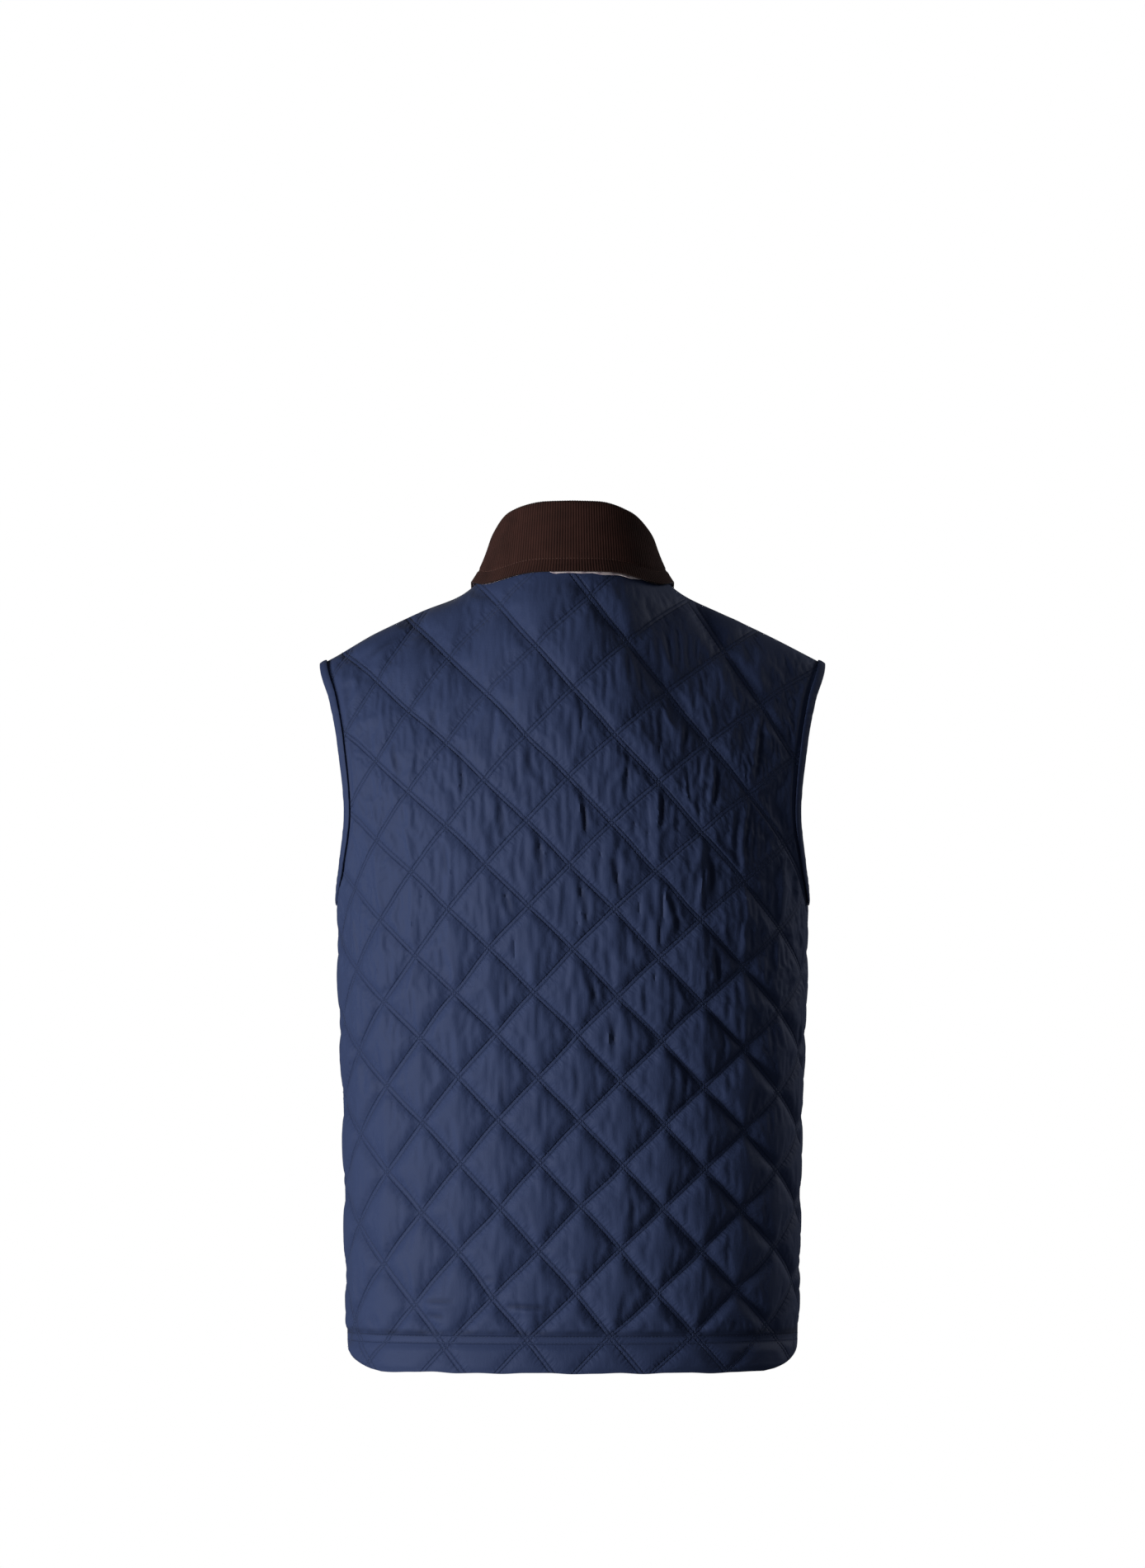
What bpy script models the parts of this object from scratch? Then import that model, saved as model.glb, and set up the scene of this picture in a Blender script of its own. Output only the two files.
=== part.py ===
"""Quilted vest, hollow and filled out as when worn.

The front faces -Y, the back +Y and the wearer's left is +X. The origin is the middle of the neck,
level with the shoulders that carry the vest. Back and fronts meet in the plane y = 0, which holds the
shoulder seams and the side seams. Each cloth piece is a wall: an outer face worked out from the sizes
below and an inner face one wall thickness behind it.
"""
import math
from collections import namedtuple

import bmesh
import bpy
import numpy as np

# Driving sizes, in metres
GAP = 0.0003
WALL = 0.004
SHOULDER_HALF = 0.2132
TIP_HEIGHT = -0.0730
UNDERARM_HEIGHT = -0.2720
HEM_HEIGHT = -0.6720
HEM_STITCH_HEIGHT = -0.6430
SHOULDER_SLOPE = 0.53
SHOULDER_CURVE = 0.40
NECK_RISE = 0.047
NECK_RISE_REACH = 0.0665
NECK_RISE_POWER = 3.5
NECK_SOFTENING = 0.02
NECK_HALF = 0.076
NECK_DEPTH = {1: 0.060, -1: 0.085}
SHOULDER_REACH = {1: 0.20, -1: 0.30}
SECTION_POWER = 0.9

ARMHOLE_ROUND_HEIGHT = -0.165
VENT_TURN = 0.46
LEVEL_FROM = 0.75
LEVEL_POWER = 1.5

# The vest's outer face, ring by ring from the hem up: half width at the panel's edge, half width of the
# whole ring, of which the armhole cuts away the end, and the depth of the back and of the front
Ring = namedtuple("Ring", "height edge_half ring_half back_depth front_depth")
RINGS = (
    Ring(HEM_HEIGHT, 0.1905, 0.1905, 0.118, 0.126),
    Ring(-0.560, 0.1923, 0.1923, 0.114, 0.124),
    Ring(-0.450, 0.1942, 0.1942, 0.114, 0.127),
    Ring(-0.350, 0.1980, 0.1980, 0.118, 0.131),
    Ring(UNDERARM_HEIGHT, 0.1995, 0.1995, 0.122, 0.131),
    Ring(-0.240, 0.1960, 0.2035, 0.123, 0.130),
    Ring(-0.200, 0.1920, 0.2110, 0.123, 0.127),
    Ring(-0.140, 0.1979, 0.2245, 0.119, 0.118),
    Ring(-0.105, 0.2045, 0.2325, 0.114, 0.111),
    Ring(TIP_HEIGHT, SHOULDER_HALF, 0.2406, 0.109, 0.103),
    Ring(0.0, SHOULDER_HALF, 0.2406, 0.092, 0.083),
    Ring(0.08, SHOULDER_HALF, 0.2406, 0.075, 0.068),
)

# Lapped front and its press studs
LAP = 0.015
LAP_LIFT = WALL + 0.0006
LAP_FULL_STEP = 1
LAP_ENDS_STEP = 3
SNAP_HEIGHTS = (-0.150, -0.262, -0.374, -0.486, -0.598)
SNAP_SIDES = 14
SNAP_CROWN = 0.0026
SnapTurn = namedtuple("SnapTurn", "radius height")
SNAP_TURNS = (
    SnapTurn(0.0070, 0.0),
    SnapTurn(0.0075, 0.0006),
    SnapTurn(0.0066, 0.0018),
    SnapTurn(0.0036, 0.0024),
)

# Binding that is folded over the armhole's edge
BINDING_WIDTH = 0.006
BINDING_CLOTH = 0.0010
BINDING_GAP = 0.0007
UNDERARM_STRIP = 0.008

# Collar, angle by angle from the centre back (0) round to the centre front (180)
TOP_CLOTH = 0.0016
UNDER_CLOTH = 0.0010
ROLL_RADIUS = 0.0033
FOLD_INSET = 0.0075
STAND_INSET = 0.0022
COLLAR_END = 176.0
CollarCut = namedtuple("CollarCut", "angle fold_height fall_reach clearance")
COLLAR = (
    CollarCut(0.0, 0.0651, 0.0046, 0.0045),
    CollarCut(18.0, 0.0645, 0.0048, 0.0045),
    CollarCut(44.0, 0.0560, 0.0050, 0.0045),
    CollarCut(65.0, 0.0420, 0.0062, 0.0048),
    CollarCut(90.0, 0.0245, 0.0074, 0.0064),
    CollarCut(130.0, -0.0110, 0.0112, 0.0078),
    CollarCut(COLLAR_END, -0.0380, 0.0165, 0.0092),
)

# Under collar: it ends short of the fall's edge, except where it peeks out at the back neck
PEEK = 0.0018
PEEK_SHORT = -0.0020
PEEK_FROM = -50.0
PEEK_TO = 18.0
PEEK_FADE = 10.0

# How finely the faces are divided, and how points on the outer face are searched for
SEARCH_DROP = 0.26
SEARCH_WIDEST = 0.26
SEARCH_NARROWEST = 0.10
SEARCH_STEP = 0.0002
SLOPE_STEP = 0.01
EDGE_STEP = 1e-4
TINY = 1e-6
NECK_STEPS = 6
SHOULDER_STEPS = 8
EDGE_CROWDING = 1.6
TIP_STEPS = 5
ARMHOLE_STEPS = 8
SIDE_STEPS = 5
HEM_STEPS = 4
STAND_STEPS = 2
ROLL_STEPS = 4
DROP_STEPS = 2
FALL_STEPS = 3

NAVY = (0.016, 0.020, 0.045, 1.0)
BROWN = (0.050, 0.027, 0.019, 1.0)
PALE = (0.68, 0.60, 0.58, 1.0)
GUNMETAL = (0.06, 0.06, 0.07, 1.0)


def clear_scene():
    for old in list(bpy.data.objects):
        bpy.data.objects.remove(old, do_unlink=True)


def finish_material(name, colour, roughness, metallic=0.0):
    made = bpy.data.materials.new(name)
    made.use_nodes = True
    shader = made.node_tree.nodes["Principled BSDF"]
    shader.inputs["Base Color"].default_value = colour
    shader.inputs["Roughness"].default_value = roughness
    shader.inputs["Metallic"].default_value = metallic
    return made


def smooth_through(table, key, column, at):
    """A smooth curve through one column of a table, which never overshoots its rows."""
    keys = np.array([getattr(row, key) for row in table])
    values = np.array([getattr(row, column) for row in table])
    steps = np.diff(keys)
    rises = np.diff(values) / steps
    products = rises[:-1] * rises[1:]
    sums = rises[:-1] + rises[1:]
    inner = np.where(products > 0.0, 2.0 * products / np.where(sums == 0.0, 1.0, sums), 0.0)
    slopes = np.concatenate(([rises[0]], inner, [rises[-1]]))
    at = np.clip(at, keys[0], keys[-1])
    i = np.clip(np.searchsorted(keys, at) - 1, 0, len(steps) - 1)
    t = (at - keys[i]) / steps[i]
    low = values[i] * (1 + 2 * t) + slopes[i] * steps[i] * t
    high = values[i + 1] * (3 - 2 * t) - slopes[i + 1] * steps[i] * (1 - t)
    return low * (1 - t) ** 2 + high * t ** 2


def shoulder_line(x):
    """Height of the shoulder seam at a distance x from the centre, rising into the neck."""
    inward = SHOULDER_HALF - np.sqrt(x ** 2 + NECK_SOFTENING ** 2)
    slope = SHOULDER_SLOPE * inward - SHOULDER_CURVE * inward ** 2
    return TIP_HEIGHT + slope + NECK_RISE * np.exp(-np.abs(x / NECK_RISE_REACH) ** NECK_RISE_POWER)


def ring_half_width(height):
    return smooth_through(RINGS, "height", "ring_half", height)


def armhole_angle(height):
    """Angle round the ring, from the centre line, at which the panel's edge stands."""
    share = smooth_through(RINGS, "height", "edge_half", height) / ring_half_width(height)
    return np.where(height > UNDERARM_HEIGHT, np.arcsin(np.clip(share, 0, 1)), math.pi / 2)


def surface_depth(side, x, height):
    """Depth of the outer face: an elliptic ring that rounds over to zero at the shoulder seam."""
    column = "back_depth" if side > 0 else "front_depth"
    full = smooth_through(RINGS, "height", column, height)
    below = np.clip((shoulder_line(x) - height) / SHOULDER_REACH[side], 0, 1)
    rounding = np.sqrt(1 - (1 - below) ** 2)
    across = np.sqrt(1 - np.clip(x / ring_half_width(height), -1, 1) ** 2)
    return side * full * rounding * across ** SECTION_POWER


def height_over(side, x, depth):
    """Height at which the outer face stands over each point of a plan."""
    drops = np.arange(0.0, SEARCH_DROP, SEARCH_STEP)
    found = []
    for one_x, one_depth in zip(np.ravel(x), np.ravel(depth)):
        heights = shoulder_line(one_x) - drops
        depths = np.abs(surface_depth(side, one_x, heights))
        found.append(np.interp(abs(one_depth), depths, heights))
    return np.array(found).reshape(np.shape(x))


def width_over(side, depth, height):
    """Distance from the centre at which the outer face has each depth and height."""
    tried = np.arange(SEARCH_WIDEST, SEARCH_NARROWEST, -SEARCH_STEP)
    found = []
    for one_depth, one_height in zip(depth, height):
        depths = np.abs(surface_depth(side, tried, one_height))
        found.append(np.interp(abs(one_depth) + TINY, depths, tried))
    return np.array(found)


def top_height(side, across):
    """Height of a panel's top edge: the shoulder seam and, inside the neck points, the neckline."""
    x = ring_half_width(TIP_HEIGHT) * np.sin(across * armhole_angle(TIP_HEIGHT))
    neck = NECK_DEPTH[side] * np.sqrt(np.clip(1 - (x / NECK_HALF) ** 2, 0, 1))
    return height_over(side, x, neck)


def panel_face(side, across, down):
    """Outer face of a panel: across runs from centre (0) to edge (1), down from top (0) to hem (1)."""
    edge_height = TIP_HEIGHT + (HEM_HEIGHT - TIP_HEIGHT) * down
    into_vent = np.clip((HEM_STITCH_HEIGHT - edge_height) / (HEM_STITCH_HEIGHT - HEM_HEIGHT), 0, 1)
    angle = armhole_angle(edge_height) - VENT_TURN * (1 - np.sqrt(1 - into_vent ** 2))
    level = np.clip(1 - down / LEVEL_FROM, 0, 1) ** LEVEL_POWER
    height = edge_height + (top_height(side, across) - TIP_HEIGHT) * level
    x = ring_half_width(height) * np.sin(across * angle)
    y = surface_depth(side, x, height)
    y = side * np.maximum(side * y, GAP / 2)
    return np.stack(np.broadcast_arrays(x, y, height), axis=-1)


def outward_normals(face, side):
    """Unit normals of a face's grid; on the seam plane they stay in that plane."""
    along = np.gradient(face, axis=1)
    down = np.gradient(face, axis=0)
    normal = np.cross(along, down)
    normal *= np.sign(np.sum(normal[..., 1]) * side)
    on_seam = np.abs(face[..., 1]) < GAP
    normal[..., 1] = np.where(on_seam, 0.0, normal[..., 1])
    normal[-1, :, 2] = 0.0
    return normal / np.linalg.norm(normal, axis=-1, keepdims=True)


def wall(name, outside, inside, material, closed=False):
    """A closed wall between two grids of points. Rows may join up into a ring."""
    rows, columns = outside.shape[:2]
    body = bmesh.new()
    skins = []
    for grid in (outside, inside):
        skins.append([[body.verts.new(point) for point in row] for row in grid])
    row_pairs = [(i, (i + 1) % rows) for i in range(rows if closed else rows - 1)]
    for i, k in row_pairs:
        for j in range(columns - 1):
            for skin in skins:
                body.faces.new((skin[i][j], skin[k][j], skin[k][j + 1], skin[i][j + 1]))
        for j in (0, columns - 1):
            body.faces.new((skins[0][i][j], skins[0][k][j], skins[1][k][j], skins[1][i][j]))
    if not closed:
        for i in (0, rows - 1):
            for j in range(columns - 1):
                body.faces.new((skins[0][i][j], skins[0][i][j + 1], skins[1][i][j + 1], skins[1][i][j]))
    return add_object(name, body, material)


def add_object(name, body, material):
    bmesh.ops.triangulate(body, faces=body.faces)
    bmesh.ops.recalc_face_normals(body, faces=body.faces)
    if body.calc_volume(signed=True) < 0:
        bmesh.ops.reverse_faces(body, faces=body.faces)
    mesh = bpy.data.meshes.new(name)
    body.to_mesh(mesh)
    body.free()
    mesh.materials.append(material)
    made = bpy.data.objects.new(name, mesh)
    bpy.context.scene.collection.objects.link(made)
    return made


def panel_rows():
    """Down values of a panel's rows: close together at the shoulder, the underarm and the hem."""
    span = HEM_HEIGHT - TIP_HEIGHT
    underarm = (UNDERARM_HEIGHT - TIP_HEIGHT) / span
    stitch = (HEM_STITCH_HEIGHT - TIP_HEIGHT) / span
    rounding = (ARMHOLE_ROUND_HEIGHT - TIP_HEIGHT) / span
    over_shoulder = rounding * np.linspace(0.0, 1.0, TIP_STEPS + 1) ** 2
    turns = np.linspace(0.0, math.pi / 2, ARMHOLE_STEPS + 1)[1:]
    armhole = rounding + (underarm - rounding) * np.sin(turns)
    strip = underarm - UNDERARM_STRIP / span
    side = np.linspace(strip, stitch, SIDE_STEPS + 1)
    quarter = np.linspace(0.0, math.pi / 2, HEM_STEPS + 1)[1:]
    hem = stitch + (1 - stitch) * np.sin(quarter)
    return np.concatenate((over_shoulder, armhole, side, hem)), TIP_STEPS + ARMHOLE_STEPS


def across_at(x):
    """Across value of the column that starts at a distance x from the centre."""
    return np.arcsin(np.asarray(x) / ring_half_width(TIP_HEIGHT)) / armhole_angle(TIP_HEIGHT)


def half_columns():
    """Across values from the centre, over the neck point, out to the edge, crowded at the edge."""
    turns = np.linspace(0.0, math.pi / 2, NECK_STEPS + 1)
    neck = across_at(NECK_HALF * np.sin(turns))
    left = np.linspace(1.0, 0.0, SHOULDER_STEPS + 1)[1:]
    shoulder = 1 - (1 - neck[-1]) * left ** EDGE_CROWDING
    return np.concatenate((neck, shoulder))


def make_back(cloth):
    half = half_columns()
    across = np.concatenate((-half[:0:-1], half))
    down, _ = panel_rows()
    face = panel_face(1, across[None, :], down[:, None])
    inside = face - WALL * outward_normals(face, 1)
    inside[..., 1] = np.maximum(inside[..., 1], GAP / 2)
    return wall("back", face, inside, cloth)


def front_face(lifted):
    """Outer face and normals of the front at +X; the lapping front is lifted over the other."""
    half = half_columns()
    across = np.concatenate(([across_at(-LAP)], half))
    down, _ = panel_rows()
    face = panel_face(-1, across[None, :], down[:, None])
    normal = outward_normals(face, -1)
    if lifted:
        full, ends = half[LAP_FULL_STEP], half[LAP_ENDS_STEP]
        ease = np.clip((ends - across) / (ends - full), 0, 1)[None, :, None]
        face = face + LAP_LIFT * ease * ease * (3 - 2 * ease) * normal
    return face, normal


def make_front(name, lifted, cloth):
    face, normal = front_face(lifted)
    inside = face - WALL * normal
    inside[..., 1] = np.minimum(inside[..., 1], -GAP / 2)
    if not lifted:
        mirror = np.array([-1.0, 1.0, 1.0])
        face, inside = face * mirror, inside * mirror
    return wall(name, face, inside, cloth)


def armhole_sections(side):
    """Edge points, inward directions, normals and the panel's face under the binding, tip to underarm."""
    down, last = panel_rows()
    down = down[:last + 1]
    edge = panel_face(side, np.ones_like(down), down)
    by_across = (edge - panel_face(side, np.full_like(down, 1 - EDGE_STEP), down)) / EDGE_STEP
    further = panel_face(side, np.ones_like(down), down + EDGE_STEP)
    by_down = (further - edge) / EDGE_STEP
    tangent = np.gradient(edge, axis=0)
    tangent[[0, -1]] = (0.0, side, 0.0), (0.0, -side, 0.0)
    normal = np.cross(by_across, by_down)
    normal[0, 1] = 0.0
    normal[-1] = (1.0, 0.0, 0.0)
    normal *= np.sign(normal[:, :1])
    normal /= np.linalg.norm(normal, axis=1, keepdims=True)
    inward = np.cross(normal, tangent) * side
    inward /= np.linalg.norm(inward, axis=1, keepdims=True)
    faces = []
    for reach in (BINDING_WIDTH, BINDING_WIDTH / 2):
        point = edge + reach * inward
        point[:, 1] = side * np.maximum(side * point[:, 1], 0.0)
        point[:, 0] = width_over(side, point[:, 1], point[:, 2])
        faces.append(point)
    return edge, inward, normal, faces


def binding_skin(side, lift):
    """One skin of the binding: from its inner leg, round the panel's edge, to its outer leg."""
    edge, inward, normal, faces = armhole_sections(side)
    over = lift * normal
    under = -(WALL + lift) * normal
    beyond = edge - lift * inward
    points = [faces[0] + under, faces[1] + under, beyond + under]
    points += [beyond + over, faces[1] + over, faces[0] + over]
    return np.stack(points, axis=1)


def binding_ring(lift):
    """The skin all round the armhole: down the back's edge and up the front's."""
    back = binding_skin(1, lift)
    front = binding_skin(-1, lift)
    for row in (0, -1):
        shared = (back[row] + front[row]) / 2
        shared[:, 1] = 0.0
        back[row] = shared
    return np.concatenate((back, front[-2:0:-1]))


def make_bindings(cloth):
    inside = binding_ring(BINDING_GAP)
    outside = binding_ring(BINDING_GAP + BINDING_CLOTH)
    for name, flip in (("armhole_binding_left", 1.0), ("armhole_binding_right", -1.0)):
        mirror = np.array([flip, 1.0, 1.0])
        wall(name, outside * mirror, inside * mirror, cloth, closed=True)


def collar_sections():
    """Plan point, plan normal and cut of the collar at each angle, on the panels' neck columns."""
    step = 90.0 / NECK_STEPS
    half = np.append(np.arange(0.0, COLLAR_END, step), COLLAR_END)
    degrees = np.concatenate((-half[:0:-1], half))
    turn = np.radians(degrees)
    depth = np.where(np.cos(turn) > -TINY, NECK_DEPTH[1], NECK_DEPTH[-1])
    plan = np.stack((NECK_HALF * np.sin(turn), depth * np.cos(turn)), axis=1)
    normal = np.stack((np.sin(turn) / NECK_HALF, np.cos(turn) / depth), axis=1)
    normal /= np.linalg.norm(normal, axis=1, keepdims=True)
    return degrees, plan, normal


def plan_height(plan):
    """Height of the vest's outer face over each point of a plan."""
    back = height_over(1, plan[..., 0], np.maximum(plan[..., 1], 0.0))
    front = height_over(-1, plan[..., 0], np.minimum(plan[..., 1], 0.0))
    return np.where(plan[..., 1] >= 0, back, front)


def resting_line(degrees, plan, normal):
    """Section line on which the fall lies: the panels' face below the neck seam, moved out."""
    reach = smooth_through(COLLAR, "angle", "fall_reach", np.abs(degrees))
    clearance = smooth_through(COLLAR, "angle", "clearance", np.abs(degrees))
    out = reach[:, None] * np.linspace(0, 1, FALL_STEPS + 1)
    height = plan_height(plan[:, None, :] + out[..., None] * normal[:, None, :])
    n_out, n_height = section_normals(out, height)
    return out + clearance[:, None] * n_out, height + clearance[:, None] * n_height, height[:, 0]


def collar_profile():
    """Outer line of the collar's section at each angle: up the stand, over the roll, down the fall."""
    degrees, plan, normal = collar_sections()
    rest_out, rest_height, seam = resting_line(degrees, plan, normal)
    fold = smooth_through(COLLAR, "angle", "fold_height", np.abs(degrees))
    up = np.linspace(0, 1, STAND_STEPS + 1)[:-1]
    over = np.linspace(math.pi, 0, ROLL_STEPS + 1)
    drop = np.linspace(0, 1, DROP_STEPS + 1)[1:-1]
    base = (seam + GAP)[:, None]
    centre = (fold - ROLL_RADIUS)[:, None]
    inner = -FOLD_INSET - ROLL_RADIUS
    outer = -FOLD_INSET + ROLL_RADIUS
    level = np.ones_like(base)
    out = np.concatenate((
        level * (-STAND_INSET + (inner + STAND_INSET) * up),
        level * (-FOLD_INSET + ROLL_RADIUS * np.cos(over)),
        outer + (rest_out[:, :1] - outer) * drop,
        rest_out), axis=1)
    height = np.concatenate((
        base + (centre - base) * up,
        centre + ROLL_RADIUS * np.sin(over),
        centre + (rest_height[:, :1] - centre) * drop,
        rest_height), axis=1)
    return degrees, plan, normal, out, height


def section_normals(out, height):
    """Unit normals in the plane of each section, towards the collar's shown side."""
    d_out = np.gradient(out, axis=1)
    d_height = np.gradient(height, axis=1)
    length = np.hypot(d_out, d_height)
    return -d_height / length, d_out / length


def collar_points(plan, normal, out, height):
    across = plan[:, None, :] + out[..., None] * normal[:, None, :]
    return np.concatenate((across, height[..., None]), axis=2)


def make_collar(corduroy, pale):
    degrees, plan, normal, out, height = collar_profile()
    n_out, n_height = section_normals(out, height)

    def skin(depth):
        return collar_points(plan, normal, out - depth * n_out, height - depth * n_height)

    wall("top_collar", skin(0.0), skin(TOP_CLOTH), corduroy)

    shown = np.clip((degrees - PEEK_FROM) / PEEK_FADE, 0, 1) * np.clip((PEEK_TO - degrees) / PEEK_FADE, 0, 1)
    peek = PEEK_SHORT + (PEEK - PEEK_SHORT) * shown
    first = STAND_STEPS + ROLL_STEPS

    def under_skin(depth):
        points = skin(depth)[:, first:]
        run = points[:, -1] - points[:, -2]
        run /= np.linalg.norm(run, axis=1, keepdims=True)
        points[:, -1] += peek[:, None] * run
        return points

    over = TOP_CLOTH + GAP
    wall("under_collar", under_skin(over), under_skin(over + UNDER_CLOTH), pale)


def make_snaps(metal):
    """Domed caps on the lapping front's centre line, each turned out along the cloth's normal."""
    angles = np.arange(SNAP_SIDES) * 2 * math.pi / SNAP_SIDES
    for number, height in enumerate(SNAP_HEIGHTS, 1):
        depth = float(surface_depth(-1, np.array(0.0), np.array(height)))
        lower = float(surface_depth(-1, np.array(0.0), np.array(height - SLOPE_STEP)))
        out = np.array([0.0, -1.0, (depth - lower) / SLOPE_STEP])
        out /= np.linalg.norm(out)
        right = np.array([1.0, 0.0, 0.0])
        up = np.cross(right, out)
        seat = np.array([0.0, depth, height]) + (LAP_LIFT + GAP) * out
        body = bmesh.new()
        rings = []
        for turn in SNAP_TURNS:
            circle = np.outer(np.cos(angles), right) + np.outer(np.sin(angles), up)
            points = seat + turn.height * out + turn.radius * circle
            rings.append([body.verts.new(point) for point in points])
        top = body.verts.new(seat + SNAP_CROWN * out)
        body.faces.new(rings[0])
        for low, high in zip(rings, rings[1:]):
            for i in range(SNAP_SIDES):
                k = (i + 1) % SNAP_SIDES
                body.faces.new((low[i], low[k], high[k], high[i]))
        for i in range(SNAP_SIDES):
            body.faces.new((rings[-1][i], rings[-1][(i + 1) % SNAP_SIDES], top))
        add_object(f"snap_{number}", body, metal)


def main():
    clear_scene()
    quilt = finish_material("navy_quilt", NAVY, 0.55)
    binding = finish_material("navy_binding", NAVY, 0.6)
    corduroy = finish_material("brown_corduroy", BROWN, 0.9)
    pale = finish_material("pale_cloth", PALE, 0.85)
    metal = finish_material("gunmetal", GUNMETAL, 0.4, 0.9)
    make_back(quilt)
    make_front("front_left", True, quilt)
    make_front("front_right", False, quilt)
    make_bindings(binding)
    make_collar(corduroy, pale)
    make_snaps(metal)


main()
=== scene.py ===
# %% [markdown]
# # A quilted vest, hollow as when worn
# The real vest is cut from one kind of quilted cloth: two layers of thin navy microfibre with wadding
# between them, sewn together along crossing diagonal lines. A back and two fronts meet at the shoulders
# and sides, a strip of plain cloth binds each armhole, and a corduroy collar folds down over the neck.
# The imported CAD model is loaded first, because every piece below, apart from the thread, stands for one
# of its nodes.

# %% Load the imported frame
import math

import bpy
import numpy as np
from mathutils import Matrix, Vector


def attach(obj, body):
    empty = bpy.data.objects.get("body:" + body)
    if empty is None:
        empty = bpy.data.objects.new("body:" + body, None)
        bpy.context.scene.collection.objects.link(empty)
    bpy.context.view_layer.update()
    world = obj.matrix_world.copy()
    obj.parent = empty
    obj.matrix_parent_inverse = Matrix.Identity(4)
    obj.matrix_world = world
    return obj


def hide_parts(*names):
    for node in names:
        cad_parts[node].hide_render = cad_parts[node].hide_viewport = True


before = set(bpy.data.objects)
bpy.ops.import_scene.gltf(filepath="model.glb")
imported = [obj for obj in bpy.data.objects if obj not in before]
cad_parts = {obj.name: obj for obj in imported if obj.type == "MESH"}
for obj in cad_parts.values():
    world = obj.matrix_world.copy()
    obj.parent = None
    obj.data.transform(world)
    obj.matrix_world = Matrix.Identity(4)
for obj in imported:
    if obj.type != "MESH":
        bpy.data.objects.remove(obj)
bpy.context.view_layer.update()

# %% [markdown]
# ## Shader arithmetic
# A finish is a small graph of nodes. Wired by hand, even "one minus the mask" takes four lines, so one
# class wraps a node's output socket and lets Python's own operators add the Math nodes.


# %% A number that varies over a surface
class Field:
    """A node's output with arithmetic: every operator adds one Math node and wraps its output."""

    def __init__(self, finish, socket):
        self.finish = finish
        self.socket = socket

    def math(self, operation, first, second=0.0):
        """One Math node on two fields or numbers."""
        return self.finish.field("ShaderNodeMath", {"operation": operation}, {0: first, 1: second})

    def __add__(self, other):
        return self.math("ADD", self, other)

    def __sub__(self, other):
        return self.math("SUBTRACT", self, other)

    def __rsub__(self, other):
        return self.math("SUBTRACT", other, self)

    def __mul__(self, other):
        return self.math("MULTIPLY", self, other)

    def __pow__(self, other):
        return self.math("POWER", self, other)

    __radd__ = __add__
    __rmul__ = __mul__

    def wave(self, period):
        """A wave from 0 to 1 and back, once in each period of this field."""
        return self.math("SINE", self * (2 * math.pi / period)) * 0.5 + 0.5

    def limited(self):
        """The field held between 0 and 1."""
        return self.math("MINIMUM", self.math("MAXIMUM", self, 0.0), 1.0)


print("a field can be added, subtracted, multiplied and raised to a power")

# %% [markdown]
# ## A finish as a tree of nodes
# A material holds a tree of nodes in which a Principled shader does most of the work. Two classes add
# and link the nodes and keep the calls for coordinates, noise and relief in one place, so that a finish
# further on reads like a recipe. The surroundings have a tree as well, and share the first class.


# %% A tree of nodes
class Graph:
    """A tree of nodes, which all come from node()."""

    def __init__(self, tree):
        self.tree = tree

    def node(self, kind, settings=None, sockets=None):
        """Add a node: its settings are set first, then each socket gets a value or a link."""
        made = self.tree.nodes.new(kind)
        for key, value in (settings or {}).items():
            setattr(made, key, value)
        for key, value in (sockets or {}).items():
            if isinstance(value, Field):
                value = value.socket
            if isinstance(value, bpy.types.NodeSocket):
                self.tree.links.new(value, made.inputs[key])
            else:
                made.inputs[key].default_value = value
        return made

    def show(self, shader, output):
        """Make a shader node the result of the whole tree."""
        self.tree.links.new(shader.outputs[0], self.tree.nodes[output].inputs[0])


print("a graph adds nodes and links their sockets")


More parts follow.
